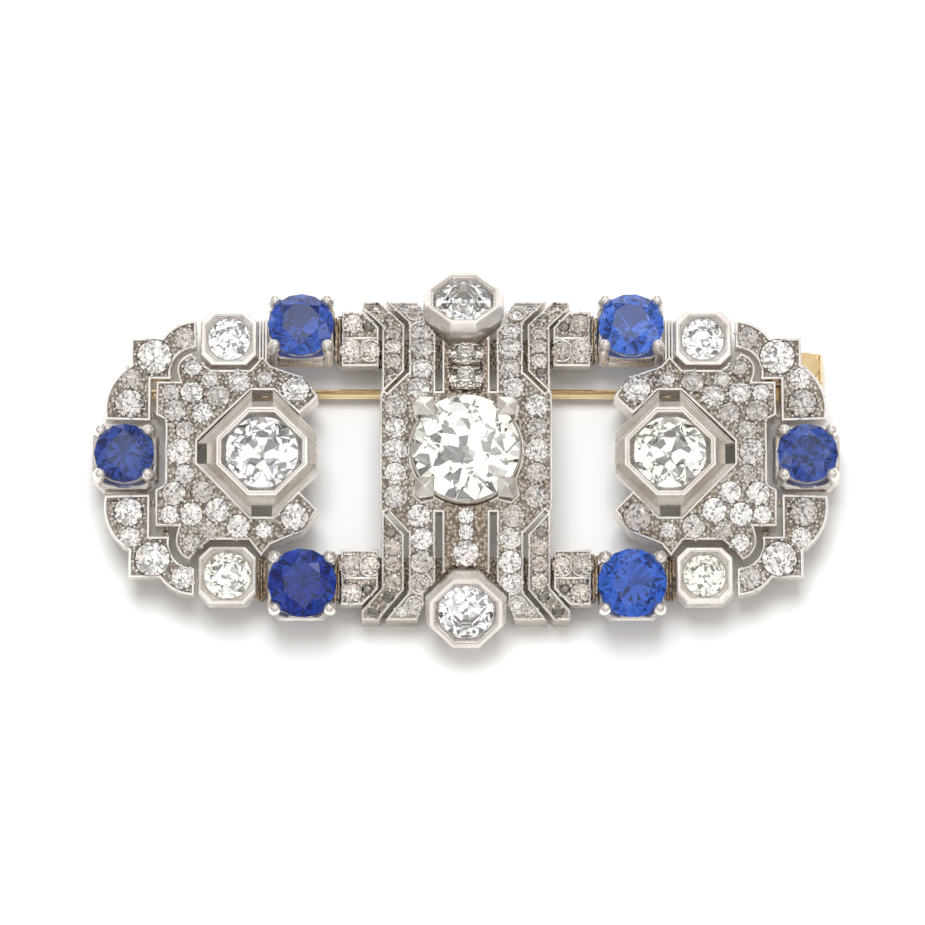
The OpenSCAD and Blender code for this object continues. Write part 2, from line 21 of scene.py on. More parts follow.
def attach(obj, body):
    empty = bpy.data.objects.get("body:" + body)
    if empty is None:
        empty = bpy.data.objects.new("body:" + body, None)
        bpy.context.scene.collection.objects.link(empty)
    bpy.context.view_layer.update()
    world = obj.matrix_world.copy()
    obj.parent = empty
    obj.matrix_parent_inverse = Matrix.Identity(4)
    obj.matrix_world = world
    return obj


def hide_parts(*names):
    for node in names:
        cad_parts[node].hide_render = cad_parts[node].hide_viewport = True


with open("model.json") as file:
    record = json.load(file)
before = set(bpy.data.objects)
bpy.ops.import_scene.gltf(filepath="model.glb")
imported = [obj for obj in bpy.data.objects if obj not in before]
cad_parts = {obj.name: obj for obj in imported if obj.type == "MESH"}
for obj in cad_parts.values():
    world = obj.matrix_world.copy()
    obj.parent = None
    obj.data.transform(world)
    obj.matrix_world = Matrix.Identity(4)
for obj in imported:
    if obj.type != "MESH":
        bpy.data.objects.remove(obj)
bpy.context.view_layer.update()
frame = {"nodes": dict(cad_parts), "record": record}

MM = 0.001
BODY = "brooch"
FULL_TURN = 2 * math.pi
UP = np.array([0.0, 0.0, 1.0])
SIDES = (("left", -1), ("right", 1))
LEVELS = (("upper", 1), ("lower", -1))
Array = np.ndarray
Colour = tuple[float, float, float]
Place = tuple[float, float, float]
Random = np.random.Generator
Socket = bpy.types.NodeSocket
log = logging.getLogger("brooch")


# Arrays


@dataclass
class Patch:
    """A run of points with polygons of one size, and a painted light level between 0 and 1 for each polygon,
    which makes a stone's facet lighter or darker.
    """

    points: Array
    polygons: Array
    facet_light: Array | None = None


def turns(count: int, start: float = 0.0) -> Array:
    """Evenly spaced angles round a full turn, beginning at a part of a step."""
    return FULL_TURN * (np.arange(count) + start) / count


def ring(angles: Array, radius: Array | float, height: Array | float) -> Array:
    """Points round the z axis at the given angles, radii and heights."""
    away = np.broadcast_to(radius, angles.shape)
    level = np.broadcast_to(height, angles.shape)
    return np.stack([away * np.cos(angles), away * np.sin(angles), level], axis=1)


def turned(points: Array, angle: float) -> Array:
    """Points turned about the z axis."""
    c, s = math.cos(angle), math.sin(angle)
    return points @ np.array([[c, s, 0], [-s, c, 0], [0, 0, 1]])


def columns_of(*columns: Array) -> Array:
    """Columns side by side: polygons from the numbers of their corners, or points from their coordinates."""
    return np.stack(columns, axis=1)


def unit(vectors: Array) -> Array:
    """Vectors brought to length 1."""
    return vectors / np.linalg.norm(vectors, axis=1)[:, None]


def bevelled(low: float, high: float, bevel: float) -> tuple[tuple[float, float], ...]:
    """The insets and heights of the four rings of a solid with two bevelled ends."""
    return (bevel, low), (0.0, low + bevel), (0.0, high - bevel), (bevel, high)


def tube(rings: Array, flip: bool = False, capped: bool = True) -> list[Patch]:
    """A surface through closed rings of points, one quad between each four neighbours.

    Args:
        rings: Points as (ring, place round it, xyz).
        flip: Turns every face round.
        capped: Closes both ends with a flat polygon; otherwise the last ring joins the first.

    Returns:
        The wall and its ends.
    """
    rows, count = rings.shape[:2]
    i, j = np.meshgrid(np.arange(rows - 1 if capped else rows), np.arange(count), indexing="ij")
    i, j = i.ravel(), j.ravel()
    i2, j2 = (i + 1) % rows, (j + 1) % count
    faces = [columns_of(i * count + j, i2 * count + j, i2 * count + j2, i * count + j2)]
    if capped:
        first = np.arange(count)
        faces += [first[None], (first[::-1] + (rows - 1) * count)[None]]
    points = rings.reshape(-1, 3)
    return [Patch(points, face[:, ::-1] if flip else face) for face in faces]


def axes_for(normal: Array) -> Array:
    """Three unit axes as rows, with z along a normal that has no x part."""
    x = np.array([1.0, 0.0, 0.0])
    return np.stack([x, np.cross(normal, x), normal])


@dataclass(frozen=True)
class Seat:
    """Where one stone or setting sits: its middle, its axes and its half sizes."""

    centre: Array
    axes: Array
    half: tuple[float, float] = (1.0, 1.0)

    def place(self, points: Array) -> Array:
        """Moves points from the seat's own axes to the brooch's."""
        return points @ self.axes + self.centre

    def moved(self, up: float, across: float, along: float | None = None) -> "Seat":
        """The seat a distance up its own axis, with new half sizes; one number serves for both."""
        return Seat(self.centre + up * self.axes[2], self.axes, (across, across if along is None else along))


def leaning_seat(centre: Sequence[float], tilt: float = 0.0) -> Seat:
    """A seat whose axis leans by some degrees in the direction of y."""
    lean = math.radians(tilt)
    return Seat(np.array(centre), axes_for(np.array([0.0, math.sin(lean), math.cos(lean)])))


def girdles(seats: Sequence[Seat]) -> tuple[Array, Array]:
    """The middles of seats and their greatest half sizes."""
    return np.array([s.centre for s in seats]), np.array([max(s.half) for s in seats])


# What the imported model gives


def node_triangles(name: str) -> tuple[Array, Array]:
    """Reads a CAD node's mesh with its doubles merged.

    Args:
        name: The node's name.

    Returns:
        Its points in millimetres, and its triangles.
    """
    mesh = frame["nodes"][name].data
    mesh.calc_loop_triangles()
    points = np.empty(len(mesh.vertices) * 3, dtype=np.float32)
    mesh.vertices.foreach_get("co", points)
    triangles = np.empty(len(mesh.loop_triangles) * 3, dtype=np.int32)
    mesh.loop_triangles.foreach_get("vertices", triangles)
    keys, back = np.unique(np.round(points.reshape(-1, 3) / MM, 4), axis=0, return_inverse=True)
    return keys.astype(float), back.ravel()[triangles].reshape(-1, 3)


def loose_solids(name: str) -> list[Array]:
    """The points of each loose solid of a CAD node, found by spreading the lowest number over each."""
    points, triangles = node_triangles(name)
    label = np.arange(len(points))
    while True:
        spread = label.copy()
        np.minimum.at(spread, triangles.ravel(), np.repeat(label[triangles].min(axis=1), 3))
        if np.array_equal(spread, label):
            return [points[label == k] for k in np.unique(label)]
        label = spread


@dataclass(frozen=True)
class Face:
    """A flat or cylindrical face about a line along x, which small stones are set in.

    The height is top - radius + sqrt(radius^2 - y^2), or top where the radius is 0.
    """

    top: float
    radius: float = 0.0

    def normal(self, y: float) -> Array:
        """The outward normal at a distance y from the middle."""
        if not self.radius:
            return UP
        lean = y / self.radius
        return np.array([0.0, lean, math.sqrt(1 - lean * lean)])


FLAT = Face(top=3.6)
DOME = Face(top=5.9, radius=19.5)
ARCH = Face(top=6.4, radius=23.0)
# The part of a stone's greatest reach from which its points belong to the girdle
GIRDLE_REACH = 0.98


def seat_of(points: Array, face: Face, y: float) -> Seat:
    """Finds a stone's seat from its CAD solid, whose girdle is its widest ring.

    Args:
        points: The solid's points.
        face: The face that it is set in.
        y: Where the face's normal is taken.

    Returns:
        The seat.
    """
    axes = axes_for(face.normal(y))
    local = (points - points.mean(axis=0)) @ axes.T
    away = np.hypot(local[:, 0], local[:, 1])
    level = local[away > GIRDLE_REACH * away.max(), 2].max()
    reach = np.abs(local[:, :2]).max(axis=0) / math.cos(FULL_TURN / 16)
    return Seat(points.mean(axis=0) + level * axes[2], axes, (float(reach[0]), float(reach[1])))


# Cut stones


@dataclass(frozen=True)
class Facets:
    """Proportions of a stone, as parts of its radius."""

    table: float
    crown: float
    pavilion: float
    culet: float
    lower: float
    star: float = 0.5
    girdle: float = 0.03


class Cut(Enum):
    """How a stone is cut; a rose cut has proportions of its own."""

    OLD_EUROPEAN = Facets(0.50, 0.34, 0.86, 0.07, 0.6)
    MODERN = Facets(0.58, 0.30, 0.84, 0.02, 0.75)
    CUSHION = Facets(0.52, 0.34, 0.84, 0.08, 0.6)
    ROSE = None


def brilliant(facets: Facets, outline: Array) -> list[Patch]:
    """A stone with eight mains above and below: table, stars, kites, halves, girdle, mains and culet.

    Each kite lies in the plane through its table corner and its girdle point, so the star points are at
    height crown - (r cos 22.5 - table) (crown - girdle) / (1 - table), and the lower ones likewise.

    Args:
        facets: The proportions.
        outline: The girdle's radius at sixteen angles.

    Returns:
        Patches for a stone of radius 1, with its girdle at z = 0.
    """
    n = 8
    main, half, around = turns(n), turns(n, 0.5), turns(2 * n)
    lean = math.cos(FULL_TURN / (2 * n))
    g = facets.girdle
    star_r = facets.table * lean + facets.star * (1 - facets.table * lean)
    star_z = facets.crown - (star_r * lean - facets.table) * (facets.crown - g) / (1 - facets.table)
    lower_r = facets.culet + (1 - facets.lower) * (1 - facets.culet)
    lower_z = -g - (1 - lower_r * lean) * (facets.pavilion - g) / (1 - facets.culet)
    points = np.concatenate([
        ring(main, facets.table * outline[0::2], facets.crown),
        ring(half, star_r * outline[1::2], star_z),
        ring(around, outline, g),
        ring(around, outline, -g),
        ring(half, lower_r * outline[1::2], lower_z),
        ring(half, facets.culet, -facets.pavilion),
    ])
    i, j = np.arange(n), np.arange(2 * n)
    after, before, j2 = (i + 1) % n, (i - 1) % n, (j + 1) % (2 * n)
    table, star, top, bottom, low, culet = 0, n, 2 * n, 4 * n, 6 * n, 7 * n
    even, mid, following = 2 * i, 2 * i + 1, (2 * i + 2) % (2 * n)
    faces = [
        (table + i)[None],
        columns_of(star + i, table + after, table + i),
        columns_of(table + i, star + before, top + even, star + i),
        np.concatenate([
            columns_of(star + i, top + even, top + mid), columns_of(star + i, top + mid, top + following),
        ]),
        columns_of(top + j, bottom + j, bottom + j2, top + j2),
        np.concatenate([
            columns_of(low + i, bottom + mid, bottom + even),
            columns_of(low + i, bottom + following, bottom + mid),
        ]),
        columns_of(bottom + even, low + before, culet + before, culet + i, low + i),
        (culet + i[::-1])[None],
    ]
    return [Patch(points, face) for face in faces]


def rose_cut() -> list[Patch]:
    """A domed stone of radius 1 with a flat back: six facets round its point and eighteen below them."""
    n, height = 6, 0.42
    points = np.concatenate([
        [[0.0, 0.0, height]], ring(turns(n), 0.56, 0.72 * height), ring(turns(2 * n), 1.0, 0.05),
        ring(turns(2 * n), 0.97, -0.25),
    ])
    i, j = np.arange(n), np.arange(2 * n)
    after, before, j2 = (i + 1) % n, (2 * i - 1) % (2 * n), (j + 1) % (2 * n)
    a, b, c = 1, 1 + n, 1 + 3 * n
    even, mid = b + 2 * i, b + 2 * i + 1
    faces = [
        columns_of(0 * i, a + i, a + after),
        np.concatenate([
            columns_of(a + i, mid, a + after), columns_of(a + i, even, mid),
            columns_of(a + i, b + before, even),
        ]),
        columns_of(b + j, c + j, c + j2, b + j2),
        (c + j[::-1])[None],
    ]
    return [Patch(points, face) for face in faces]


def cut_stone(
    seat: Seat, cut: Cut, rng: Random, outline: Array = np.ones(16), turn: float | None = None
) -> list[Patch]:
    """One stone in its seat, with a painted light level of its own on every facet, standing for the light and
    dark of its sparkle.

    Args:
        seat: Where it sits.
        cut: How it is cut.
        rng: The source of its turn and of the facets' painted light levels.
        outline: The girdle's radius at sixteen angles, as parts of the half size.
        turn: Its turn about its axis in radians; None picks one.

    Returns:
        The stone's patches.
    """
    patches = rose_cut() if cut is Cut.ROSE else brilliant(cut.value, outline)
    own = turned(patches[0].points, rng.uniform(0, FULL_TURN) if turn is None else turn)
    placed = seat.place(own * np.array([*seat.half, min(seat.half)]))
    # Painted light: a random level for the stone and one for each facet, which the stone finish turns into
    # lighter and darker facets
    tone = rng.uniform(0.15, 0.85)
    return [
        Patch(placed, p.polygons, np.clip(tone + rng.normal(0, 0.22, len(p.polygons)), 0, 1)) for p in patches
    ]


# Finishes


class Graph:
    """A short way to add linked nodes to a node tree."""

    def __init__(self, tree: bpy.types.NodeTree) -> None:
        """Keeps the tree and empties it."""
        self.tree = tree
        tree.nodes.clear()

    def add(self, kind: str, settings: dict | None = None, **inputs: object) -> bpy.types.Node:
        """Adds a node.

        Args:
            kind: The node's type name, without ShaderNode.
            settings: Properties of the node.
            inputs: Values or sockets for its inputs, by name with _ for a space, or i with their number.

        Returns:
            The new node.
        """
        node = self.tree.nodes.new(kind if kind.startswith("Node") else "ShaderNode" + kind)
        for key, value in (settings or {}).items():
            setattr(node, key, value)
        for key, value in inputs.items():
            socket = node.inputs[int(key[1:]) if key[1:].isdigit() else key.replace("_", " ")]
            if isinstance(value, Socket):
                self.tree.links.new(value, socket)
            else:
                socket.default_value = value
        return node

    def coordinates(self, kind: str = "Object") -> Socket:
        """The place or the direction that is shaded."""
        return self.add("TexCoord").outputs[kind]

    def normal(self, kind: str, axis: str) -> Socket:
        """One part of the surface's normal."""
        return self.part(self.add("NewGeometry").outputs[kind], axis)

    def part(self, vector: Socket, axis: str) -> Socket:
        """One part of a vector."""
        return self.add("SeparateXYZ", Vector=vector).outputs[axis]

    def noise(self, scale: float, detail: float, vector: Socket | None = None, **inputs: float) -> Socket:
        """Cloudy noise over the surface, or over a vector."""
        where = self.coordinates() if vector is None else vector
        return self.add("TexNoise", Vector=where, Scale=scale, Detail=detail, **inputs).outputs["Fac"]

    def maths(self, operation: str, *inputs: object) -> Socket:
        """The result of a calculation with values."""
        numbered = {f"i{k}": v for k, v in enumerate(inputs)}
        return self.add("Math", {"operation": operation}, **numbered).outputs[0]

    def spread(
        self, value: Socket, low: float, high: float, to_low: object = 0.0, to_high: object = 1.0,
        kind: str = "LINEAR",
    ) -> Socket:
        """A value carried from one range to another, and kept in it."""
        return self.add(
            "MapRange", {"interpolation_type": kind}, Value=value, From_Min=low, From_Max=high, To_Min=to_low,
            To_Max=to_high,
        ).outputs["Result"]

    def mix(self, share: object, first: Socket | Colour, second: Socket | Colour) -> Socket:
        """The colour a share of the way from the first to the second."""
        ends = [end if isinstance(end, Socket) else (*end, 1) for end in (first, second)]
        return self.add("Mix", {"data_type": "RGBA"}, i0=share, i6=ends[0], i7=ends[1]).outputs[2]

    def scaled(self, vector: Socket, by: Socket) -> Socket:
        """A vector or colour times a value."""
        return self.add("VectorMath", {"operation": "SCALE"}, i0=vector, Scale=by).outputs["Vector"]

    def surface(self, colour: Socket, **inputs: object) -> None:
        """The material's shader."""
        shader = self.add("BsdfPrincipled", Base_Color=colour, **inputs)
        self.add("OutputMaterial", Surface=shader.outputs["BSDF"])


def new_material(name: str) -> tuple[bpy.types.Material, Graph]:
    """An empty node material and its graph."""
    material = bpy.data.materials.new(name)
    material.use_nodes = True
    return material, Graph(material.node_tree)


@cache
def worn_metal_and_bead_shade_group() -> bpy.types.NodeTree:
    """The group for metal cut and worn by hand: dull patches, tint, painted shade between tiny beads, and a
    normal.

    Returns:
        The node group, with the inputs Scratch, Beads and Round, and four outputs.
    """
    group = bpy.data.node_groups.new("worn_metal_and_bead_shade", "ShaderNodeTree")
    for way, kind, names in (
        ("INPUT", "Float", ("Scratch", "Beads")), ("INPUT", "Vector", ("Round",)),
        ("OUTPUT", "Float", ("Dull", "Tint", "Pit")), ("OUTPUT", "Vector", ("Normal",)),
    ):
        for name in names:
            group.interface.new_socket(name, in_out=way, socket_type="NodeSocket" + kind)
    g = Graph(group)
    entry = g.add("NodeGroupInput").outputs
    stretched = g.add("Mapping", Vector=g.coordinates(), Rotation=(0.3, 0.2, 0.7), Scale=(1.0, 9.0, 3.0))
    beads = g.add("TexVoronoi", Vector=g.coordinates(), Scale=3300.0, Randomness=0.9).outputs["Distance"]
    beaded = g.add(
        "Bump", {"invert": True}, Height=beads, Strength=entry["Beads"], Distance=0.16 * MM,
        Normal=entry["Round"],
    )
    scratched = g.add(
        "Bump", Height=g.noise(1500.0, 3.0, stretched.outputs["Vector"]), Strength=entry["Scratch"],
        Distance=0.02 * MM, Normal=beaded.outputs["Normal"],
    )
    # The third output is painted shade in the hollows between the bump-mapped beads, which have no real hollows
    # to cast it
    g.add(
        "NodeGroupOutput", Dull=g.spread(g.noise(900.0, 4.0, Roughness=0.6), 0.35, 0.7),
        Tint=g.spread(g.noise(420.0, 3.0), 0.35, 0.65),
        Pit=g.maths("MULTIPLY", g.spread(beads, 0.34, 0.62), entry["Beads"]),
        Normal=scratched.outputs["Normal"],
    )
    return group


@dataclass(frozen=True)
class MetalFinish:
    """A metal: two tints, two roughnesses, rounded edges, beads with painted shade between them, painted shade in
    its corners and a painted dark reflection along its top.
    """

    name: str
    light: Colour
    dark: Colour
    smooth: float
    rough: float
    scratch: float
    edge: float = 0.0
    beads: float = 0.0
    # How strongly painted shade darkens corners and the metal round stones and grains
    corner_shade: float = 0.0
    crest_reflection: float = 0.0
    # The dark colour that painted shade and the painted dark reflection darken towards
    pit: Colour = (0.20, 0.16, 0.13)
    metal: float = 1.0
    stripe_half: float = 0.0
    stripe: Colour = (0.66, 0.55, 0.43)
    slot: str = "platinum"

    @cache
    def build(self) -> bpy.types.Material:
        """Makes the material, with beads only where the metal faces the front.

        Returns:
            The material.
        """
        material, g = new_material(self.name)
        rounded = g.add("Bevel", {"samples": 2}, Radius=self.edge * MM) if self.edge else g.add("NewGeometry")
        beads = g.spread(g.normal("True Normal", "Z"), 0.8, 0.9, 0.0, self.beads) if self.beads else 0.0
        worn = g.add(
            "Group", {"node_tree": worn_metal_and_bead_shade_group()}, Scratch=self.scratch, Beads=beads,
            Round=rounded.outputs["Normal"],
        ).outputs
        colour = g.mix(worn["Tint"], self.dark, self.light)
        if self.stripe_half:
            away = g.maths("ABSOLUTE", g.part(g.coordinates(), "X"))
            low, high = (self.stripe_half - 0.1) * MM, (self.stripe_half + 0.1) * MM
            colour = g.mix(g.spread(away, low, high, 0.85, 0.0), colour, self.stripe)
        # Painted shade in the hollows between the beads
        darkness = worn["Pit"]
        # Painted shade: darker where ambient occlusion finds metal close by, in corners and round stones and
        # grains
        if self.corner_shade:
            corner = g.add("AmbientOcclusion", {"samples": 2}, Distance=0.3 * MM).outputs["AO"]
            darkness = g.maths("MAXIMUM", darkness, g.spread(corner, 0.3, 0.75, self.corner_shade, 0.0))
        # Painted dark reflection: a dark line where the surface faces straight up, as along the top of the round
        # pin
        if self.crest_reflection:
            crest_reflection = g.spread(g.normal("Normal", "Z"), 0.955, 0.975, 0.0, self.crest_reflection)
            darkness = g.maths("MAXIMUM", darkness, crest_reflection)
        g.surface(
            g.mix(darkness, colour, self.pit), Metallic=self.metal, Normal=worn["Normal"],
            Roughness=g.spread(worn["Dull"], 0.0, 1.0, self.smooth, self.rough),
        )
        return material


@dataclass(frozen=True)
class StoneFinish:
    """A clear or coloured stone in its own colour, each facet painted a little lighter or darker to stand for the
    light and dark of its sparkle.
    """

    name: str
    light: Colour
    dark: Colour
    ior: float = 2.42
    transmission: float = 1.0
    slot: str = "diamond"

    @cache
    def build(self) -> bpy.types.Material:
        """Makes the material, with its colour from each facet's painted light level.

        Returns:
            The material.
        """
        material, g = new_material(self.name)
        # Painted light: each facet's level, with a faint cloud, sets how far its colour goes from the dark tint
        # to the light one
        facet_light = g.add("Attribute", {"attribute_name": "facet_light"}).outputs["Fac"]
        level = g.maths("MULTIPLY_ADD", g.noise(1400.0, 1.0), 0.2, facet_light)
        colour = g.mix(g.spread(level, 0.15, 0.9), self.dark, self.light)
        g.surface(colour, Roughness=0.0, IOR=self.ior, Transmission_Weight=self.transmission)
        return material


# The beaded ground in field order: tints, roughnesses, scratch, edge, beads, painted shade in corners, none along
# its top, and the dark colour of its painted shade
GROUND = ((0.86, 0.80, 0.73), (0.58, 0.51, 0.44), 0.16, 0.34, 0.3, 0.03, 0.75, 0.85, 0.0, (0.14, 0.11, 0.085))
BEADED_PLATINUM = MetalFinish("beaded_platinum", *GROUND)
PANEL_PLATINUM = MetalFinish("panel_platinum", *GROUND, stripe_half=1.62)
PLATINUM = MetalFinish(
    "platinum", (0.92, 0.88, 0.83), (0.76, 0.70, 0.64), 0.2, 0.4, 0.3, 0.04, corner_shade=0.6, metal=0.85
)
BRIGHT_PLATINUM = MetalFinish(
    "bright_platinum", (0.98, 0.96, 0.93), (0.90, 0.86, 0.82), 0.15, 0.32, 0.14, corner_shade=0.4, metal=0.9
)
SATIN_PLATINUM = MetalFinish(
    "satin_platinum", (0.97, 0.94, 0.91), (0.86, 0.81, 0.76), 0.18, 0.36, 0.2, corner_shade=0.4, metal=0.65
)
# Painted shade: a brown, darker platinum for the spacer plates that lie in shade
PAINTED_SHADE_PLATINUM = MetalFinish(
    "painted_shade_platinum", (0.84, 0.72, 0.56), (0.50, 0.36, 0.22), 0.15, 0.35, 0.3, beads=0.7, corner_shade=0.5
)
GOLD = MetalFinish(
    "gold", (0.95, 0.76, 0.45), (0.84, 0.62, 0.33), 0.1, 0.24, 0.2, 0.03,
    corner_shade=0.5, pit=(0.3, 0.18, 0.08), slot="gold",
)
# The pin's gold, with a painted dark reflection along its top
PIN_GOLD = MetalFinish(
    "pin_gold", (0.97, 0.80, 0.50), (0.88, 0.67, 0.38), 0.07, 0.18, 0.1, crest_reflection=0.85, pit=(0.30, 0.19, 0.08),
    slot="gold",
)
CLEAR = StoneFinish("clear_stone", (0.86, 0.84, 0.81), (0.46, 0.41, 0.37))
WHITE = StoneFinish("white_stone", (1.0, 1.0, 1.0), (0.84, 0.83, 0.82))
GREYISH = StoneFinish("greyish_stone", (0.80, 0.74, 0.67), (0.38, 0.32, 0.27))
BROWNISH = StoneFinish("brownish_stone", (1.0, 0.94, 0.86), (0.84, 0.74, 0.63))
WARM = StoneFinish("warm_clear_stone", (1.0, 0.99, 0.92), (0.90, 0.88, 0.78))
BLUE = StoneFinish("blue_stone", (0.045, 0.16, 0.66), (0.008, 0.028, 0.25), 1.77, 0.9, "sapphire")
DEEP_BLUE = StoneFinish("deep_blue_stone", (0.03, 0.12, 0.55), (0.006, 0.022, 0.22), 1.6, 0.9, "sapphire")
NAVY = StoneFinish("dark_blue_stone", (0.03, 0.09, 0.40), (0.008, 0.02, 0.17), 1.77, 0.9, "sapphire")
BY_SLOT = {"platinum": PLATINUM, "gold": GOLD, "diamond": CLEAR, "sapphire": BLUE}
BY_NODE = {"centre_panel": PANEL_PLATINUM, "pin_stem": PIN_GOLD}


def dress_cad() -> None:
    """Gives each CAD node its slot's finish, the plates their beaded grounds and the pin its own gold."""
    slots = {s["node"]: s["material_slot"] for s in frame["record"]["subparts"]}
    for name, obj in frame["nodes"].items():
        beaded = name.endswith(("_plate", "_border", "_bar"))
        finish = BY_NODE.get(name, BEADED_PLATINUM if beaded else BY_SLOT[slots[name]])
        obj.data.materials.clear()
        obj.data.materials.append(finish.build())


# Pieces


def make_object(name: str, patches: Sequence[Patch], material: bpy.types.Material) -> bpy.types.Object:
    """Puts patches into one object of the scene, with their painted light levels as a face attribute.

    Args:
        name: The object's name.
        patches: The patches, in millimetres; several may hold the same array of points, which is stored once.
        material: The material.

    Returns:
        The new object, in metres.
    """
    arrays = {id(p.points): p.points for p in patches}
    starts = dict(zip(arrays, np.cumsum([0, *map(len, arrays.values())])))
    points = np.concatenate([*arrays.values()]) * MM
    loops = np.concatenate([(p.polygons + starts[id(p.points)]).ravel() for p in patches]).astype(np.int32)
    sizes = np.concatenate([np.full(len(p.polygons), p.polygons.shape[1]) for p in patches])
    facet_light = np.concatenate([np.full(len(p.polygons), 0.5) if p.facet_light is None else p.facet_light for p in patches])
    mesh = bpy.data.meshes.new(name)
    mesh.vertices.add(len(points))
    mesh.vertices.foreach_set("co", points.ravel().astype(np.float32))
    mesh.loops.add(len(loops))
    mesh.loops.foreach_set("vertex_index", loops)
    mesh.polygons.add(len(sizes))
    mesh.polygons.foreach_set("loop_start", np.concatenate([[0], np.cumsum(sizes)[:-1]]).astype(np.int32))
    mesh.polygons.foreach_set("use_smooth", np.zeros(len(sizes), dtype=bool))
    mesh.attributes.new("facet_light", "FLOAT", "FACE").data.foreach_set("value", facet_light.astype(np.float32))
    mesh.update(calc_edges=True)
    mesh.validate()
    mesh.materials.append(material)
    return link(name, mesh)


def link(name: str, data: bpy.types.ID) -> bpy.types.Object:
    """A new object of the scene."""
    obj = bpy.data.objects.new(name, data)
    bpy.context.scene.collection.objects.link(obj)
    return obj


def make_piece(
    name: str, patches: Sequence[Patch], finish: MetalFinish | StoneFinish, replaces: Sequence[str] = (),
    smooth: float | None = None,
) -> None:
    """Makes one visible piece, joins it to the brooch's body and hides the CAD nodes that it stands for.

    Args:
        name: The piece's name.
        patches: Its patches, in millimetres.
        finish: Its finish.
        replaces: CAD nodes that it stands for.
        smooth: Edges flatter than this many degrees are smoothed; None leaves all of them sharp.
    """
    obj = make_object(name, patches, finish.build())
    if smooth is not None:
        obj.data.polygons.foreach_set("use_smooth", np.ones(len(obj.data.polygons), dtype=bool))
        obj.data.set_sharp_from_angle(angle=math.radians(smooth))
    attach(obj, BODY)
    if replaces:
        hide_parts(*replaces)
    log.info("%s: %d faces", name, len(obj.data.polygons))


# Rims along the edges of the plates


# How level a front face is, and how far a rim reaches into the metal
FRONT_LEVEL, RIM_SINK = 0.6, 0.12


def top_edges(name: str, least_z: float) -> list[Array]:
    """The closed edges of a CAD node's front face, each with the metal on its left.

    Args:
        name: The node's name.
        least_z: Faces below this height are left out.

    Returns:
        A list of closed runs of points.
    """
    points, triangles = node_triangles(name)
    corner = points[triangles]
    normal = np.cross(corner[:, 1] - corner[:, 0], corner[:, 2] - corner[:, 0])
    up = normal[:, 2] > FRONT_LEVEL * np.linalg.norm(normal, axis=1)
    front = triangles[up & (corner[:, :, 2].min(axis=1) > least_z)]
    have = set(map(tuple, front[:, [0, 1, 1, 2, 2, 0]].reshape(-1, 2).tolist()))
    following = {a: b for a, b in have if (b, a) not in have}
    loops = []
    while following:
        start, here = following.popitem()
        run = [start]
        while here != start and here in following:
            run.append(here)
            here = following.pop(here)
        if here == start and len(run) > 2:
            loops.append(points[run])
    return loops


def thinned(loop: Array, least: float) -> Array:
    """A closed run of points without those closer than a distance to the one before them."""
    kept = loop[np.linalg.norm(loop - np.roll(loop, 1, axis=0), axis=1) > least]
    return kept if len(kept) > 3 else loop


def beside_stones(loop: Array, seats: Sequence[Seat], near: float = 0.32) -> bool:
    """Whether a closed edge only goes round stones, as the mouth of one seat or of several joined ones.

    Args:
        loop: The closed edge.
        seats: The stones' seats.
        near: The greatest distance between the edge and the nearest stone.

    Returns:
        True where no point of the edge is farther than that from a stone.
    """
    centres, radii = girdles(seats)
    away = np.linalg.norm(loop[:, None] - centres[None], axis=2) - radii[None]
    return bool(away.min(axis=1).max() < near)


def low_profile(rise: float, sink: float) -> Array:
    """Heights of a rounded profile, from one foot in the metal over the top to the other foot."""
    return np.array([-sink, 0.55 * rise, 0.92 * rise, rise, 0.92 * rise, 0.55 * rise, -sink])


def rim_tube(loop: Array, face: Face, width: float, rise: float, bare_half: float) -> list[Patch]:
    """A low rim along a closed edge, with its outer side flush with the edge.

    The profile goes inwards by s and outwards from the face by t; at a corner it is stretched along the
    mitre by 1 / cos(half the turn).

    Args:
        loop: The closed edge, with the metal on its left.
        face: The face that it borders.
        width: The rim's width.
        rise: How far it stands proud.
        bare_half: Nearer than this to the middle, across the brooch, it is thin and stays below the face.

    Returns:
        The rim's patches.
    """
    back, ahead = unit(loop - np.roll(loop, 1, axis=0)), unit(np.roll(loop, -1, axis=0) - loop)
    up = np.array([face.normal(y) for y in np.clip(loop[:, 1], -face.radius, face.radius)])
    left = np.cross(up, back) + np.cross(up, ahead)
    size = np.linalg.norm(left, axis=1)
    left = left / size[:, None] * np.clip(2 / size, 1, 2.5)[:, None]
    s = np.array([-0.01, -0.01, 0.18, 0.5, 0.82, 1.0, 1.0]) * width
    t = low_profile(rise, RIM_SINK)
    shown = np.where(np.abs(loop[:, 0]) < bare_half, 0.0, 1.0)[:, None]
    across = s[None] * (0.3 + 0.7 * shown)
    height = t[None] * shown - 0.06 * (1 - shown) * (1 + s[None] / width)
    rings = loop[:, None, :] + left[:, None, :] * across[:, :, None] + up[:, None, :] * height[:, :, None]
    return tube(rings, capped=False)


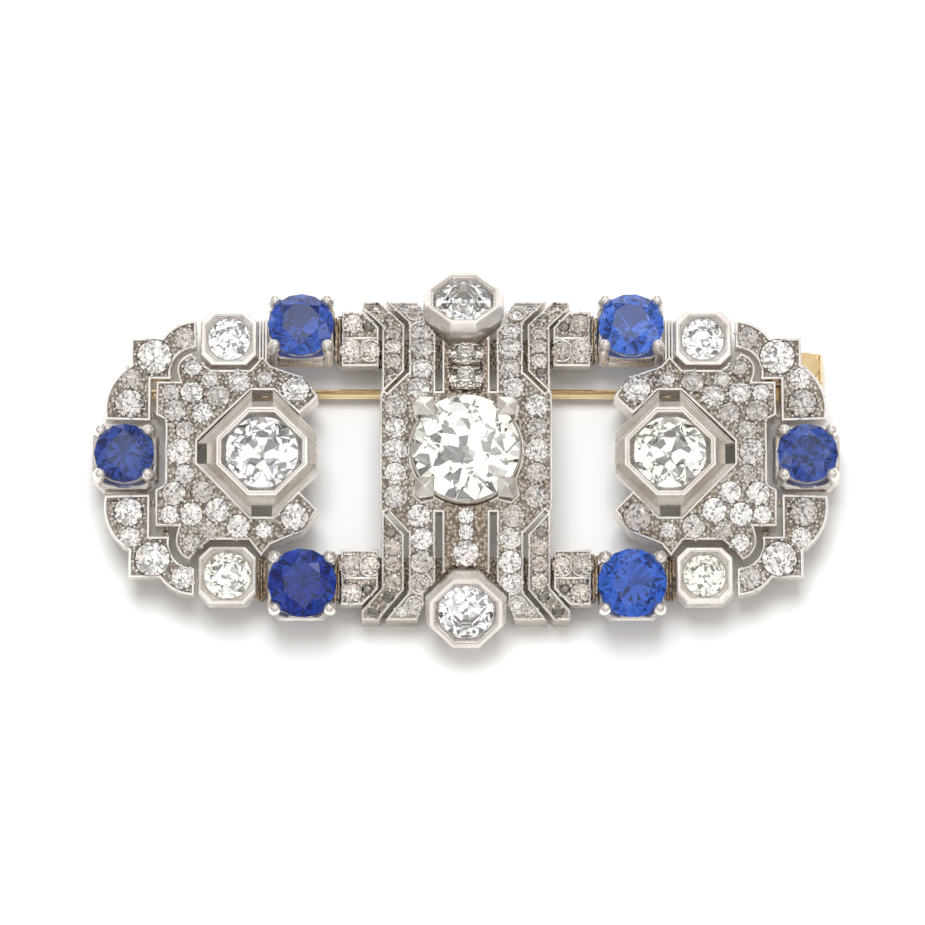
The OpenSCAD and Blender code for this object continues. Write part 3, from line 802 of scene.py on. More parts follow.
def rail(start: Place, end: Place, width: float, rise: float, sink: float = 0.1) -> list[Patch]:
    """A straight low rail with a rounded top, whose profile is carried from one end to the other.

    Args:
        start: The middle of its foot at one end.
        end: The middle of its foot at the other end.
        width: Its width.
        rise: Its height over the foot.
        sink: How far it reaches into the metal.

    Returns:
        The rail's patches.
    """
    first, last = np.array(start), np.array(end)
    along = (last - first) / np.linalg.norm(last - first)
    side = np.cross(UP, along)
    side /= np.linalg.norm(side)
    s = np.array([0.5, 0.5, 0.3, 0.0, -0.3, -0.5, -0.5]) * width
    profile = side[None] * s[:, None] + np.cross(along, side)[None] * low_profile(rise, sink)[:, None]
    steps = np.array([0.0, 0.03, 0.5, 0.5, 0.97, 1.0])
    scale = np.array([0.6, 1.0, 1.0, 1.0, 1.0, 0.6])
    rings = first + (last - first) * steps[:, None, None] + profile[None] * scale[:, None, None]
    return tube(rings, flip=True)


# Small stones and the grains that hold them


# The part of the free distance that a stone may fill, and how far growth lifts it
STONE_GAP, GROWTH_LIFT = 0.985, 0.7
# Places tried round a stone; then, in radii of a grain: how far it lies from the girdle, the least gap that it
# fills, the least distance between two, and its height over the metal
GRAIN_TRIES = 24
GRAIN_OUT, GRAIN_GAP, GRAIN_APART, GRAIN_UP = 0.6, 0.35, 3.7, 0.25
GRAIN_SIZES = (0.85, 1.15)
# How far a ray looks for metal, and how level the metal has to be
RAY_LENGTH, LEVEL_ENOUGH = 1.5, 0.8
FAR = 1e3


def grain_patches(places: Array, sizes: Array) -> list[Patch]:
    """Small round grains of eight by four faces at many places.

    Args:
        places: The grains' middles.
        sizes: Their radii.

    Returns:
        The patches.
    """
    lift = np.linspace(math.pi / 2 - 0.35, -math.pi / 2 + 0.35, 5)
    one = tube(np.stack([ring(turns(8), math.cos(v), math.sin(v)) for v in lift]))
    shape = one[0].points
    points = (shape[None] * sizes[:, None, None] + places[:, None]).reshape(-1, 3)
    shift = (np.arange(len(places)) * len(shape))[:, None, None]
    return [Patch(points, (p.polygons + shift).reshape(-1, p.polygons.shape[1])) for p in one]


def grown_seats(seats: Sequence[Seat], most: float, lift: float) -> list[Seat]:
    """Seats widened until their stones nearly touch, the largest first, and raised so that they clear the metal.

    A radius becomes the least of most * r and STONE_GAP (d - r') over its neighbours, but not less than r.

    Args:
        seats: The seats.
        most: The limit of the growth.
        lift: How far each stone is raised.

    Returns:
        The new seats.
    """
    centres, before = girdles(seats)
    radii = before.copy()
    apart = np.linalg.norm(centres[:, None] - centres[None], axis=2) + FAR * np.eye(len(seats))
    for k in np.argsort(-before):
        free = STONE_GAP * (apart[k] - radii).min()
        radii[k] = max(before[k], min(most * before[k], free))
    return [
        s.moved(lift + GROWTH_LIFT * (k - 1) * max(s.half), s.half[0] * k, s.half[1] * k)
        for s, k in zip(seats, radii / before)
    ]


def grain_places(
    seats: Sequence[Seat], metals: Sequence[str], size: float, rng: Random
) -> tuple[Array, Array]:
    """Places for grains round small stones, in the gaps between them and on metal.

    Candidates lie round each girdle; the tightest gaps are served first, and a grain keeps a distance
    from those already placed. A ray down onto the metal finds its height.

    Args:
        seats: The stones' seats.
        metals: The CAD nodes that the stones are set in.
        size: A grain's usual radius.
        rng: The source of the grains' slight differences.

    Returns:
        The grains' middles and radii.
    """
    trees = [BVHTree.FromPolygons(*(a.tolist() for a in node_triangles(name))) for name in metals]
    centres, radii = girdles(seats)
    around, out = ring(turns(GRAIN_TRIES, 0.5), 1.0, 0.0), GRAIN_OUT * size
    spots = np.concatenate([s.place(around * np.array([s.half[0] + out, s.half[1] + out, 0])) for s in seats])
    owner = np.repeat(np.arange(len(seats)), GRAIN_TRIES)
    gap = np.linalg.norm(spots[:, None] - centres[None], axis=2) - radii[None]
    gap[np.arange(len(owner)), owner] = np.inf
    nearest = gap.min(axis=1)
    order = np.argsort(nearest)
    chosen, sizes = np.empty((0, 3)), []
    for k in order[nearest[order] > GRAIN_GAP * size]:
        if len(chosen) and np.linalg.norm(chosen - spots[k], axis=1).min() < GRAIN_APART * size:
            continue
        axis = seats[owner[k]].axes[2]
        hits = [tree.ray_cast(Vector(spots[k] + axis), Vector(-axis), RAY_LENGTH) for tree in trees]
        hits = [h[0] for h in hits if h[0] is not None and h[1].dot(Vector(axis)) > LEVEL_ENOUGH]
        if hits:
            spot = max(hits, key=lambda h: h.dot(Vector(axis)))
            chosen = np.vstack([chosen, np.array(spot) + GRAIN_UP * size * axis])
            sizes.append(size * rng.uniform(*GRAIN_SIZES))
    return chosen, np.array(sizes)


@dataclass
class PaveField:
    """A field of small stones with its plates' rims and its grains.

    A grey stone smaller than rose_below is rose cut. A stone longer than wide by long_from is a cushion.
    """

    name: str
    stones: str
    metals: tuple[str, ...]
    face: Face
    is_grey: Callable[[Array], bool] = lambda centre: False
    growth: float = 1.17
    lift: float = 0.07
    grain: float = 0.16
    rim_width: float = 0.17
    rim_rise: float = 0.08
    least_z: float = 1.0
    bare_half: float = 0.0
    rails: tuple[tuple[Place, Place], ...] = ()
    rose_below: float = 0.55
    long_from: float = 0.1
    cushion_bulge: float = 0.14
    cushion_lift: float = 0.3
    cushion_growth: tuple[float, float] = (1.07, 1.04)
    finest_edge: float = 0.02

    def seats(self) -> list[Seat]:
        """The seats of the stones, first with the normal at each solid's middle, then at its girdle's."""
        solids = loose_solids(self.stones)
        rough = [seat_of(points, self.face, float(points[:, 1].mean())) for points in solids]
        return [seat_of(points, self.face, float(r.centre[1])) for points, r in zip(solids, rough)]

    def build(self, rng: Random) -> None:
        """Makes the stones, the grains and the rims.

        Args:
            rng: The source of small differences.
        """
        seats = grown_seats(self.seats(), self.growth, self.lift)
        clear, grey, cushions = [], [], []
        for seat in seats:
            if self.is_grey(seat.centre):
                cut = Cut.ROSE if min(seat.half) < self.rose_below else Cut.OLD_EUROPEAN
                grey += cut_stone(seat, cut, rng)
            elif abs(seat.half[0] - seat.half[1]) > self.long_from:
                outline = 1 + self.cushion_bulge * np.sin(2 * turns(16)) ** 2
                across, along = (g * h for g, h in zip(self.cushion_growth, seat.half))
                wide = seat.moved(self.cushion_lift, across, along)
                cushions += cut_stone(wide, Cut.CUSHION, rng, outline, 0.0)
            else:
                clear += cut_stone(seat, Cut.OLD_EUROPEAN, rng)
        stands_for = [self.stones]
        kinds = (("cut", clear, CLEAR), ("grey", grey, GREYISH), ("long", cushions, BROWNISH))
        for kind, stones, finish in kinds:
            if stones:
                make_piece(f"{self.name}_{kind}_stones", stones, finish, stands_for)
                stands_for = []
        grains = grain_patches(*grain_places(seats, self.metals, self.grain, rng))
        make_piece(f"{self.name}_grains", grains, BRIGHT_PLATINUM, smooth=50)
        rims = [patch for ends in self.rails for patch in rail(*ends, self.rim_width, self.rim_rise)]
        for loop in [loop for metal in self.metals for loop in top_edges(metal, self.least_z)]:
            if not beside_stones(loop, seats):
                kept = thinned(loop, self.finest_edge)
                rims += rim_tube(kept, self.face, self.rim_width, self.rim_rise, self.bare_half)
        if rims:
            make_piece(f"{self.name}_rims", rims, BRIGHT_PLATINUM, smooth=40)


# Settings


@dataclass(frozen=True)
class Octagon:
    """An octagon with half width a, half height b and diagonal edges at |x| + |y| = total."""

    a: float
    b: float
    total: float

    def points(self, per_side: int) -> Array:
        """Points round the octagon, anticlockwise and evenly along each side."""
        a, b, t = self.a, self.b, self.total
        quarter = np.array([[a, t - a], [t - b, b], [b - t, b], [-a, t - a]])
        corners = np.concatenate([quarter, -quarter])
        along = (np.arange(per_side) / per_side)[None, :, None]
        return (corners[:, None] * (1 - along) + np.roll(corners, -1, axis=0)[:, None] * along).reshape(-1, 2)

    def inside(self, by: float) -> "Octagon":
        """The octagon with every side moved in by a distance."""
        return Octagon(self.a - by, self.b - by, self.total - by * math.sqrt(2))

    def ring(self, per_side: int, height: float, radius: float = 1.0, roundness: float = 0.0) -> Array:
        """A ring between the octagon and a circle.

        Each point is (1 - k) times the octagon's point plus k times the circle's point at the same angle.

        Args:
            per_side: Points on each side.
            height: The ring's height.
            radius: The circle's radius.
            roundness: k, from 0 for the octagon to 1 for the circle.

        Returns:
            The points.
        """
        flat = self.points(per_side)
        circle = radius * flat / np.linalg.norm(flat, axis=1)[:, None]
        mixed = (1 - roundness) * flat + roundness * circle
        return np.concatenate([mixed, np.full((len(mixed), 1), height)], axis=1)


def revolved(seat: Seat, rings: Sequence[Array]) -> list[Patch]:
    """A closed wall through rings given on a seat's own axes."""
    stacked = np.stack(rings)
    return tube(seat.place(stacked.reshape(-1, 3)).reshape(stacked.shape), flip=True, capped=False)


@dataclass
class OctagonSetting:
    """A flared octagonal setting with its stone, which stands for the nodes NAME_setting and NAME_diamond."""

    name: str
    centre: Place
    window: Octagon
    rim: Octagon
    base: Octagon
    waist: Octagon
    skirt: Octagon
    flare: float
    groove: float
    depth: float
    girdle_down: float
    stone_radius: float
    octagonal: float
    tilt: float = 0.0
    strips: int = 0
    warm: bool = False
    per_side: int = 6

    def wall(self) -> list[Patch]:
        """The setting's surface: up skirt and flared wall, over the grooved rim and down to the stone."""
        w, r, groove, low, deep = self.window, self.rim, -self.groove, -self.flare, -self.depth
        stone, girdle, part = self.stone_radius, -self.girdle_down, 1 - self.octagonal
        outer = (
            (self.base, 0.05, deep), (self.base, 0.0, deep + 0.06), (self.skirt, 0.0, low - 0.35),
            (self.skirt, 0.02, low - 0.02), (self.waist, 0.0, low + 0.02), (r, -0.04, -0.22), (r, 0.0, -0.09),
            (r, 0.03, -0.03), (r, 0.08, 0.0), (w, groove - 0.03, 0.0),
            (w, groove, -0.09), (w, groove + 0.05, -0.09),
            (w, groove + 0.07, -0.03), (w, -0.02, -0.06), (w, 0.0, -0.14),
        )
        inner = (
            (0.02, 0.6 * girdle, stone, 0.25 * part), (0.08, girdle + 0.06, stone, part),
            (0.22, girdle - 0.05, stone - 0.14, part), (0.3, girdle - 0.3, 0.84 * stone, 1.0),
            (0.3, deep + 0.05, 0.82 * stone, 1.0), (0.3, deep, 0.86 * stone, 1.0),
        )
        rings = [shape.inside(by).ring(self.per_side, height) for shape, by, height in outer]
        rings += [w.inside(by).ring(self.per_side, *rest) for by, *rest in inner]
        return revolved(leaning_seat(self.centre, self.tilt), rings)

    def side_strips(self) -> list[Patch]:
        """Ribbed strips that fill the plate's opening on the four diagonals.

        Each line of a strip's profile lies at |x| + |y| = t and runs between x = 0.8 and y = 0.8, but on the
        side of the large stone no farther out than the setting's foot.

        Returns:
            The strips' patches.
        """
        edge, inner, outer, low = 0.8, 4.8, 5.86, -self.flare - 0.3
        share = np.array([[0.0, 0.1, 0.75, 0.85]]) + np.arange(self.strips)[:, None]
        t = inner + (outer - inner) * np.concatenate([[0.0], share.ravel() / self.strips, [1.0]])
        ridge = np.tile([0.0, 0.07, 0.07, 0.0], self.strips)
        z = low + np.concatenate([[-0.5], ridge + 0.012 * np.arange(len(ridge)), [-0.5]])
        made = []
        for sx, sy in ((-1, -1), (-1, 1), (1, -1), (1, 1)):
            far = np.minimum(t - edge, self.waist.a if sx * self.centre[0] < 0 else outer)
            near_end = columns_of(np.full(len(t), sx * edge), sy * (t - edge), z)
            ends = [near_end, columns_of(sx * far, sy * (t - far), z)]
            made += tube(np.stack(ends) + np.array(self.centre), flip=sx * sy < 0)
        return made

    def build(self, rng: Random) -> None:
        """Makes the setting and its stone, whose outline lies between a circle and the window's octagon.

        Args:
            rng: The source of small differences.
        """
        name = f"{self.name}_octagon"
        make_piece(name, self.wall(), SATIN_PLATINUM, [f"{self.name}_setting"], smooth=28)
        if self.strips:
            make_piece(f"{name}_strips", self.side_strips(), PLATINUM, smooth=20)
        w, c, s = self.window, np.abs(np.cos(turns(16))), np.abs(np.sin(turns(16)))
        flat = np.minimum.reduce([w.a / np.maximum(c, 1e-6), w.b / np.maximum(s, 1e-6), w.total / (c + s)])
        radius = (1 - self.octagonal) * self.stone_radius + self.octagonal * flat
        seat = leaning_seat(self.centre, self.tilt).moved(-self.girdle_down - 0.02, self.stone_radius)
        stone = cut_stone(seat, Cut.OLD_EUROPEAN, rng, 1.03 * radius / self.stone_radius, 0.0)
        make_piece(f"{name}_stone", stone, WARM if self.warm else WHITE, [f"{self.name}_diamond"])


@dataclass
class ClawCollet:
    """A sapphire's collet: an octagonal gallery and four round claws, leaning outwards with its stone.

    It stands for the nodes NAME_collet and NAME_sapphire.
    """

    name: str
    centre: Place
    radius: float
    tilt: float = 0.0
    finish: StoneFinish = BLUE
    shift: tuple[float, float] = (0.0, 0.0)
    girdle_up: float = 3.0
    outer: Octagon = Octagon(2.6, 2.6, 4.3)
    gallery_h: float = 1.6
    gallery_dip: float = 0.35
    claw_angles: tuple[float, ...] = (43, 137, 223, 317)
    claw_r: float = 0.4
    claw_away: float = 0.36
    claw_bend: float = 0.34
    claw_swell: float = 0.34
    claw_foot: float = 0.3
    claw_over: float = 0.62
    per_side: int = 8

    def claw_seat(self) -> Seat:
        """The middle of the claws and the stone, a little off the foot's middle."""
        return leaning_seat(np.array(self.centre) + np.array([*self.shift, 0.0]), self.tilt)

    def gallery(self) -> list[Patch]:
        """The gallery: an octagonal wall whose top dips between claws by gallery_dip * cos^2(2 angle)."""
        flat = self.outer.points(self.per_side)
        dip = self.gallery_dip * np.cos(2 * np.arctan2(flat[:, 1], flat[:, 0])) ** 2
        rings = []
        for inset, roundness, up, share in (
            (0.0, 0.0, 0.0, 0.0), (0.02, 0.0, 0.5, 0.0), (0.12, 0.0, 0.6, 0.2), (0.10, 0.0, 0.95, 1.0),
            (0.14, 0.1, 1.0, 1.0), (0.30, 0.35, 1.0, 1.0), (0.42, 0.6, 0.93, 1.0), (0.52, 0.9, 0.6, 0.5),
            (0.52, 1.0, 0.0, 0.0),
        ):
            one = self.outer.inside(inset).ring(self.per_side, up * self.gallery_h, self.radius * 0.84, roundness)
            one[:, 2] -= dip * share
            rings.append(one)
        return revolved(leaning_seat(self.centre, self.tilt), rings)

    def claw(self, angle: float) -> list[Patch]:
        """One claw: a round wire that rises beside the stone and bends over its girdle.

        The wire's middle is at a distance out(t) and a height up(t) from the foot. Over the last fifth its
        radius closes as the square root of 1 - s^2, so that the tip is round.

        Args:
            angle: Its direction from the stone's middle, in degrees.

        Returns:
            The claw's patches.
        """
        t = np.concatenate([np.linspace(0, 0.78, 9), 0.8 + 0.2 * np.sin(np.linspace(0.1, 1.5, 8))])
        out = self.radius + self.claw_away - self.claw_bend * np.clip((t - 0.55) / 0.45, 0, 1) ** 2
        up = self.claw_foot + (self.girdle_up + self.claw_over) * t
        wide = self.claw_r * (1 + self.claw_swell * np.clip((t - 0.5) / 0.3, 0, 1))
        wide = wide * np.sqrt(np.clip(1.001 - np.clip((t - 0.8) / 0.2, 0, 1) ** 2, 0, 1))
        around, direction = turns(10)[None, :, None], math.radians(angle)
        radial = np.array([math.cos(direction), math.sin(direction), 0])
        side = np.array([-math.sin(direction), math.cos(direction), 0])
        across = unit(radial[None] - (np.gradient(out) / np.gradient(up))[:, None] * UP[None])
        middle = radial[None] * out[:, None] + UP[None] * up[:, None]
        rings = middle[:, None] + wide[:, None, None] * (
            across[:, None] * np.cos(around) + side[None, None] * np.sin(around)
        )
        return tube(self.claw_seat().place(rings.reshape(-1, 3)).reshape(rings.shape), flip=True)

    def build(self, rng: Random) -> None:
        """Makes the collet and its stone.

        Args:
            rng: The source of small differences.
        """
        name = f"{self.name}_claw_collet"
        make_piece(f"{name}_gallery", self.gallery(), PLATINUM, [f"{self.name}_collet"], smooth=35)
        claws = [patch for angle in self.claw_angles for patch in self.claw(angle)]
        make_piece(f"{name}_claws", claws, BRIGHT_PLATINUM, smooth=60)
        stone = cut_stone(self.claw_seat().moved(self.girdle_up, self.radius), Cut.MODERN, rng)
        make_piece(f"{name}_stone", stone, self.finish, [f"{self.name}_sapphire"])


@dataclass
class CentreSetting:
    """The large round stone with its collet and four kite-shaped claws."""

    radius: float = 4.2
    girdle_z: float = 7.4
    foot_z: float = 4.0
    claw_in: float = 3.4
    claw_out: float = 5.4
    claw_half: float = 1.0
    claw_angles: tuple[float, ...] = (45, 135, 225, 315)
    stone_turn: float = 11.0

    def collet(self) -> list[Patch]:
        """The ring under the girdle, as a profile turned about the z axis."""
        r, foot = self.radius, self.foot_z
        profile = (
            (r + 0.02, foot), (r + 0.05, foot + 0.2), (r - 0.02, 5.6), (r + 0.05, 6.5), (r + 0.06, 7.05),
            (r - 0.05, 7.18), (r - 0.2, 7.12), (3.7, 6.6), (3.6, foot),
        )
        return tube(np.stack([ring(turns(64), *p) for p in profile]), flip=True, capped=False)

    def claw(self, angle: float) -> list[Patch]:
        """One claw: a kite with four facets and a ridge, on a tapering foot outside the girdle.

        Each level is the outline drawn towards its middle by a scale, at heights over the girdle, and it
        comes no nearer to the stone's middle than a least distance.

        Args:
            angle: Its direction, in degrees.

        Returns:
            The claw's patches.
        """
        mid, half = 0.5 * (self.claw_in + self.claw_out) + 0.1, self.claw_half
        outline = np.array([
            [self.claw_in, 0], [mid, -half], [self.claw_out, -0.25], [self.claw_out, 0.25], [mid, half],
        ])
        centre = np.array([mid, 0.0])
        under, flat = np.array([0.66, 0.16, -0.05, -0.05, 0.16]), np.zeros(5)
        over = under + 0.26
        rings = []
        for scale, heights, least in (
            (0.55, flat + self.foot_z - self.girdle_z, 4.3), (0.7, flat - 0.9, 4.3), (0.95, under, 0.0),
            (1.0, under + 0.08, 0.0), (1.0, over, 0.0), (0.86, over + 0.09, 0.0), (0.1, flat + 0.92, 0.0),
        ):
            level = centre + (outline - centre) * scale
            rings.append(columns_of(np.maximum(level[:, 0], least), level[:, 1], self.girdle_z + heights))
        return tube(turned(np.stack(rings), math.radians(angle)), flip=True)

    def build(self, rng: Random) -> None:
        """Makes the collet, the claws and the stone.

        Args:
            rng: The source of small differences.
        """
        make_piece("centre_collet_ring", self.collet(), PLATINUM, ["centre_collet"], smooth=35)
        claws = [patch for a in self.claw_angles for patch in self.claw(a)]
        make_piece("centre_claws", claws, BRIGHT_PLATINUM)
        seat = leaning_seat((0.0, 0.0, self.girdle_z)).moved(0.0, self.radius)
        stone = cut_stone(seat, Cut.OLD_EUROPEAN, rng, turn=math.radians(self.stone_turn))
        make_piece("centre_stone", stone, WARM, ["centre_diamond"])


@dataclass
class Spacers:
    """The thin upright plates that join the settings of the upper and lower rows.

    Each entry has a plate's distance from the middle, its top's height and the row's side.
    """

    bright: tuple[Place, ...] = ((15.55, 3.3, 1), (15.8, 3.15, 1), (16.05, 3.3, 1))
    # Plates that lie in shade, painted brown for it
    in_shade: tuple[Place, ...] = (
        (15.55, 3.1, -1), (15.8, 2.9, -1), (16.05, 3.1, -1),
        (10.08, 3.75, 1), (9.84, 3.4, 1), (10.08, 3.75, -1),
        (9.84, 3.4, -1),
    )
    thick: float = 0.22
    rise: float = 0.1
    foot_z: float = 1.7
    low_y: float = 7.75
    high_y: float = 11.1

    def build(self, rng: Random) -> None:
        """Makes the bright plates, and the ones between them in a brown that stands for painted shade.

        Args:
            rng: Not used, as the plates are all alike.
        """
        kinds = (("bright", self.bright, BRIGHT_PLATINUM), ("in_shade", self.in_shade, PAINTED_SHADE_PLATINUM))
        for kind, places, finish in kinds:
            made = []
            for away, top, sy in places:
                foot = top - self.rise
                for sx in (-1, 1):
                    ends = [(sx * away, sy * y, foot) for y in (self.low_y, self.high_y)]
                    made += rail(*ends, self.thick, self.rise, foot - self.foot_z)
            make_piece(f"spacers_{kind}", made, finish, smooth=30)


@dataclass
class HingeWork:
    """The gold hinge: a plate with rounded corners, two knuckles with their webs, and the rivet."""

    x: float = 27.1
    z: float = 1.05
    plate_x: float = 25.0
    plate_z: float = 2.25
    thick: float = 0.3
    ears: tuple[tuple[float, float], ...] = ((3.9, 4.75), (6.45, 8.7))
    knuckle: float = 0.75
    rivet: float = 0.35
    slab_bevel: float = 0.06
    rod_bevel: float = 0.08

    def slab(self, low: Place, high: Place, corner: float) -> list[Patch]:
        """A block with rounded upright corners and bevelled faces.

        Args:
            low: Its least x, y and z.
            high: Its greatest x, y and z.
            corner: The corners' radius.

        Returns:
            Its patches.
        """
        a, b = np.array(low), np.array(high)
        turn = ring(turns(24, 0.5), 1.0, 0.0)[:, :2]
        middle, half = (a + b)[:2] / 2, (b - a)[:2] / 2 - corner
        rings = []
        for inset, height in bevelled(a[2], b[2], self.slab_bevel):
            flat = middle + np.sign(turn) * half + turn * (corner - inset)
            rings.append(np.concatenate([flat, np.full((len(turn), 1), height)], axis=1))
        return tube(np.stack(rings), flip=True)

    def rod(self, start: float, end: float, radius: float) -> list[Patch]:
        """A rod along y about the hinge's axis, with bevelled ends."""
        rings = []
        for inset, y in bevelled(start, end, self.rod_bevel):
            x, z, along = ring(turns(32), radius - inset, y).T
            rings.append(columns_of(self.x + x, along, self.z + z))
        return tube(np.stack(rings))

    def build(self, rng: Random) -> None:
        """Makes the hinge.

        Args:
            rng: Not used, as its wear is in the material.
        """
        first, last, top = self.ears[0][0], self.ears[-1][1], self.plate_z - 0.01
        x, foot = self.plate_x, self.plate_z - self.thick
        patches = self.rod(first - 0.05, last + 0.05, self.rivet)
        patches += self.slab((x, first, foot), (x + 1.1, last, self.plate_z), 0.3)
        for start, end in self.ears:
            corner = min(1.05, (end - start) / 2 - 0.01)
            web = 0.65 * corner
            patches += self.rod(start, end, self.knuckle)
            patches += self.slab((x, start, top - self.thick), (self.x + 0.45, end, top), corner)
            lowest, highest = (self.x - 0.55, start + web, self.z), (self.x + 0.25, end - web, top - 0.1)
            patches += self.slab(lowest, highest, 0.1)
        make_piece("hinge_work", patches, GOLD, ["pin_joint"], smooth=35)


# Stage


@dataclass
class Room:
    """The room that metal mirrors, soft with a few panels, and the crisper one that cut stones send back.

    A panel has its bearing, its height and its half width in degrees, and its brightness.
    """

    panels: tuple[tuple[float, float, float, float], ...] = (
        (90, 42, 18, 0.8), (178, 40, 14, 0.8), (5, 38, 13, 0.7), (265, 34, 13, 0.35), (92, 13, 14, 0.6),
        (268, 12, 13, 0.4), (40, 58, 4, 2.4), (150, 64, 3, 3.2), (300, 60, 3, 2.6), (215, 68, 3, 2.6),
    )
    stops: tuple[tuple[float, Colour], ...] = (
        (0.0, (0.34, 0.31, 0.28)), (0.3, (0.40, 0.37, 0.34)), (0.6, (0.58, 0.56, 0.54)),
        (0.85, (0.78, 0.77, 0.75)), (1.0, (0.86, 0.85, 0.84)),
    )
    cells: float = 3.6
    sparks: float = 9.0
    spark_low: float = 0.25
    spark_high: float = 1.6

    def build(self) -> None:
        """Makes the world: the soft room for every ray but those that have passed through a stone."""
        world = bpy.data.worlds.new("room")
        bpy.context.scene.world = world
        world.use_nodes = True
        g = Graph(world.node_tree)
        where = g.coordinates("Generated")
        through = g.add("LightPath").outputs["Is Transmission Ray"]
        colour = g.mix(through, self.soft(g, where), self.crisp(g, where))
        back = g.add("Background", Color=colour, Strength=1.0)
        g.add("OutputWorld", Surface=back.outputs["Background"])

    def soft(self, g: Graph, where: Socket) -> Socket:
        """A ramp by height, broken up by soft cells, with the panels added.

        Args:
            g: The world's graph.
            where: The direction.

        Returns:
            The colour.
        """
        ramp = g.add("ValToRGB", Fac=g.part(where, "Z"))
        elements = ramp.color_ramp.elements
        for k, (position, colour) in enumerate(self.stops):
            stop = elements[k] if k < 2 else elements.new(position)
            stop.position, stop.color = position, (*colour, 1)
        cells = g.add("TexVoronoi", {"feature": "SMOOTH_F1"}, Vector=where, Scale=self.cells, Smoothness=0.3)
        grey = g.add("SeparateColor", Color=cells.outputs["Color"]).outputs["Red"]
        total = g.scaled(ramp.outputs["Color"], g.spread(grey, 0.1, 0.9, 0.55, 1.4))
        for bearing, height, half, bright in self.panels:
            turn, lift = math.radians(bearing), math.radians(height)
            towards = (math.cos(turn) * math.cos(lift), math.sin(turn) * math.cos(lift), math.sin(lift))
            near = g.add("VectorMath", {"operation": "DOT_PRODUCT"}, i0=where, i1=towards).outputs["Value"]
            rim, core = math.cos(math.radians(half)), math.cos(math.radians(0.75 * half))
            lit = g.spread(near, rim, core, 0.0, bright, "SMOOTHSTEP")
            total = g.add("VectorMath", {"operation": "ADD"}, i0=total, i1=lit).outputs["Vector"]
        return total

    def crisp(self, g: Graph, where: Socket) -> Socket:
        """Bright and dark cells with sharp borders, each with a faint tint of its own.

        Args:
            g: The world's graph.
            where: The direction.

        Returns:
            The colour.
        """
        cells = g.add("TexVoronoi", Vector=where, Scale=self.sparks).outputs["Color"]
        red = g.add("SeparateColor", Color=cells).outputs["Red"]
        level = g.spread(red, 0.1, 0.6, self.spark_low, self.spark_high, "SMOOTHSTEP")
        return g.scaled(g.mix(0.1, (1, 1, 1), cells), level)


@dataclass
class Stage:
    """The white table, the light and the camera, which looks down and a little up the brooch."""

    picture: int = 925
    pixel: float = 0.078
    middle_px: tuple[float, float] = (466.0, 467.4)
    elevation: float = 78.0
    distance: float = 520.0
    sensor: float = 36.0
    table_half: float = 900.0
    light_place: Place = (-30.0, 235.0, 600.0)
    light_size: float = 320.0
    light_power: float = 2.75
    room: Room = field(default_factory=Room)

    def table(self) -> None:
        """A plain white table top with a faint unevenness."""
        material, g = new_material("white_table")
        colour = g.mix(g.noise(30.0, 2.0), (0.93, 0.93, 0.93), (0.95, 0.95, 0.95))
        g.surface(colour, Roughness=0.9, Specular_IOR_Level=0.1)
        half = self.table_half
        corners = np.array([[-half, -half, 0], [half, -half, 0], [half, half, 0], [-half, half, 0]])
        make_object("table_top", [Patch(corners, np.array([[0, 1, 2, 3]]))], material)

    def light(self) -> None:
        """One large soft light beyond the top edge, which only matt things see, in a room of soft panels."""
        data = bpy.data.lights.new("window_light", "AREA")
        data.size = self.light_size * MM
        data.energy = self.light_power
        key = link("window_light", data)
        key.location = Vector(self.light_place) * MM
        key.rotation_euler = (-key.location).to_track_quat("-Z", "Y").to_euler()
        key.visible_glossy = False
        key.visible_transmission = False
        self.room.build()

    def camera(self) -> None:
        """A camera whose picture puts the origin at middle_px with one pixel to each pixel millimetres."""
        offset, lift = self.picture / 2, math.radians(self.elevation)
        target = Vector((
            -(self.middle_px[0] - offset) * self.pixel,
            (self.middle_px[1] - offset) * self.pixel / math.sin(lift),
            0.0,
        ))
        direction = Vector((0.0, -math.cos(lift), math.sin(lift)))
        data = bpy.data.cameras.new("camera")
        data.sensor_width = self.sensor
        data.sensor_fit = "HORIZONTAL"
        data.lens = self.sensor * self.distance / (self.pixel * self.picture)
        data.clip_end = 10.0
        obj = link("camera", data)
        obj.location = (target + direction * self.distance) * MM
        obj.rotation_euler = (-direction).to_track_quat("-Z", "Y").to_euler()
        bpy.context.scene.camera = obj

    def build(self) -> None:
        """Makes the table, the lights and the camera, and sets how light becomes colour."""
        self.table()
        self.light()
        self.camera()
        settings = bpy.context.scene.view_settings
        settings.view_transform = "Standard"
        settings.look = "None"
        settings.exposure = 0.0
        cycles = bpy.context.scene.cycles
        cycles.max_bounces, cycles.transmission_bounces, cycles.glossy_bounces = 12, 10, 8
        cycles.diffuse_bounces = 2
        cycles.sample_clamp_indirect = 6.0


# The brooch


def pave_fields() -> list[PaveField]:
    """The fields of small stones with their plates."""
    fields = [PaveField(
        "panel", "panel_stones", ("centre_panel",), ARCH,
        lambda c: abs(c[0]) > 5.5 and abs(c[1]) > 5.2, bare_half=1.6,
    )]
    for side, _ in SIDES:
        borders = (f"{side}_upper_border", f"{side}_lower_border")
        fields += [
            PaveField(f"{side}_plate", f"{side}_plate_stones", (f"{side}_end_plate",), DOME, least_z=3.2),
            PaveField(
                f"{side}_border", f"{side}_border_stones", borders, FLAT,
                rim_width=0.24, rim_rise=0.14, least_z=3.4,
            ),
        ]
    for side, sy in LEVELS:
        rails = tuple(((sx * 6.85, sy * 9.5, 3.6), (sx * 9.6, sy * 9.5, 3.6)) for sx in (-1, 1))
        fields.append(PaveField(
            f"{side}_bar_work", f"{side}_bar_stones", (f"{side}_bar",), FLAT,
            lambda c: True, least_z=3.4, rails=rails,
        ))
    return fields


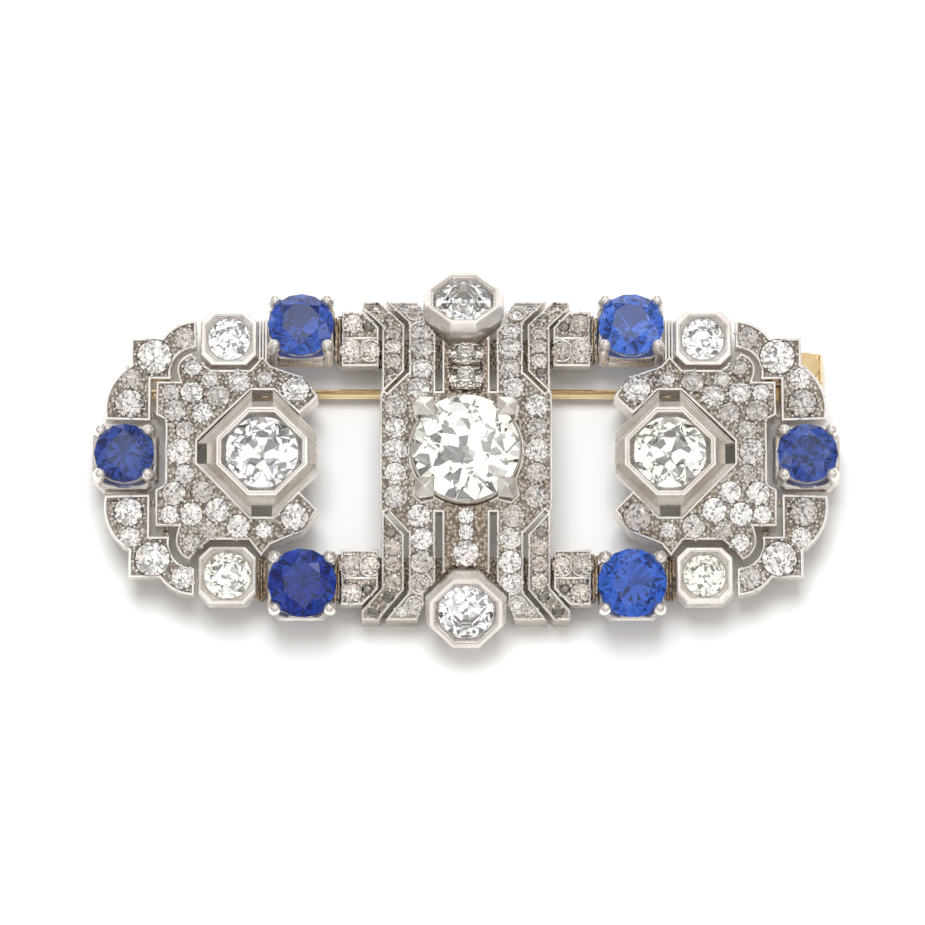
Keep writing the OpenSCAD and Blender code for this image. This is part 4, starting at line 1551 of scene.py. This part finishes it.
def octagon_settings() -> list[OctagonSetting]:
    """The eight octagonal settings."""
    large = dict(
        window=Octagon(3.12, 3.09, 4.03), rim=Octagon(3.55, 3.52, 4.62), base=Octagon(4.1, 4.05, 5.2),
        waist=Octagon(4.2, 4.08, 5.0), skirt=Octagon(4.28, 4.12, 5.06), flare=0.85, groove=0.2, depth=2.6,
        girdle_down=0.5, stone_radius=3.05, octagonal=1.0, strips=5,
    )
    small = dict(
        window=Octagon(2.33, 2.33, 3.2), rim=Octagon(2.87, 2.87, 3.86), base=Octagon(2.7, 2.7, 3.7),
        waist=Octagon(3.12, 3.12, 4.16), skirt=Octagon(3.14, 3.14, 4.18), flare=0.7, groove=0.15, depth=2.6,
        girdle_down=0.45, stone_radius=2.3, octagonal=0.6,
    )
    corner = dict(
        window=Octagon(1.75, 1.75, 2.75), rim=Octagon(2.15, 2.15, 3.5), base=Octagon(2.25, 2.25, 3.7),
        waist=Octagon(2.24, 2.24, 3.66), skirt=Octagon(2.25, 2.25, 3.68), flare=0.8, groove=0.12, depth=1.9,
        girdle_down=0.42, stone_radius=1.72, octagonal=0.25,
    )
    wider = {"window": Octagon(1.95, 1.95, 3.05), "rim": Octagon(2.2, 2.2, 3.56), "stone_radius": 1.92}
    wide = {**corner, **wider}
    made = []
    for side, sx in SIDES:
        made.append(OctagonSetting(f"{side}_large", (sx * 15.75, 0.0, 6.1), warm=sx > 0, **large))
        for level, sy in LEVELS:
            sizes = wide if sx + sy == -2 else corner
            place = (sx * 18.4, sy * 9.35, 4.3)
            made.append(OctagonSetting(f"{side}_{level}_corner", place, warm=sy < 0, **sizes))
    made.append(OctagonSetting("top", (-0.2, 12.5, 4.6), tilt=33.0, **small))
    made.append(OctagonSetting("bottom", (0.0, -12.5, 4.6), tilt=-33.0, **small))
    return made


def claw_collets() -> list[ClawCollet]:
    """The six collets with claws."""
    made = []
    for side, sx in SIDES:
        for level, sy in LEVELS:
            radius, finish = (2.57, BLUE) if sy > 0 else (2.66, DEEP_BLUE)
            shift = (0.2 if sx + sy == -2 else 0.0, -0.3 * sy)
            place = (sx * 12.8, sy * 9.97, 2.3)
            made.append(ClawCollet(f"{side}_{level}", place, radius, sy * 10.0, finish, shift))
        made.append(ClawCollet(f"{side}_end", (sx * 26.4, 0.0, 2.3), 2.32, finish=NAVY))
    return made


def main() -> None:
    """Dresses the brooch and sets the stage."""
    logging.basicConfig(level=logging.INFO, format="%(message)s")
    rng = np.random.default_rng(7)
    dress_cad()
    Stage().build()
    settings = [*octagon_settings(), *claw_collets(), CentreSetting()]
    for part in [*pave_fields(), *settings, Spacers(), HingeWork()]:
        part.build(rng)
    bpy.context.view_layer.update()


if __name__ == "__main__":
    main()
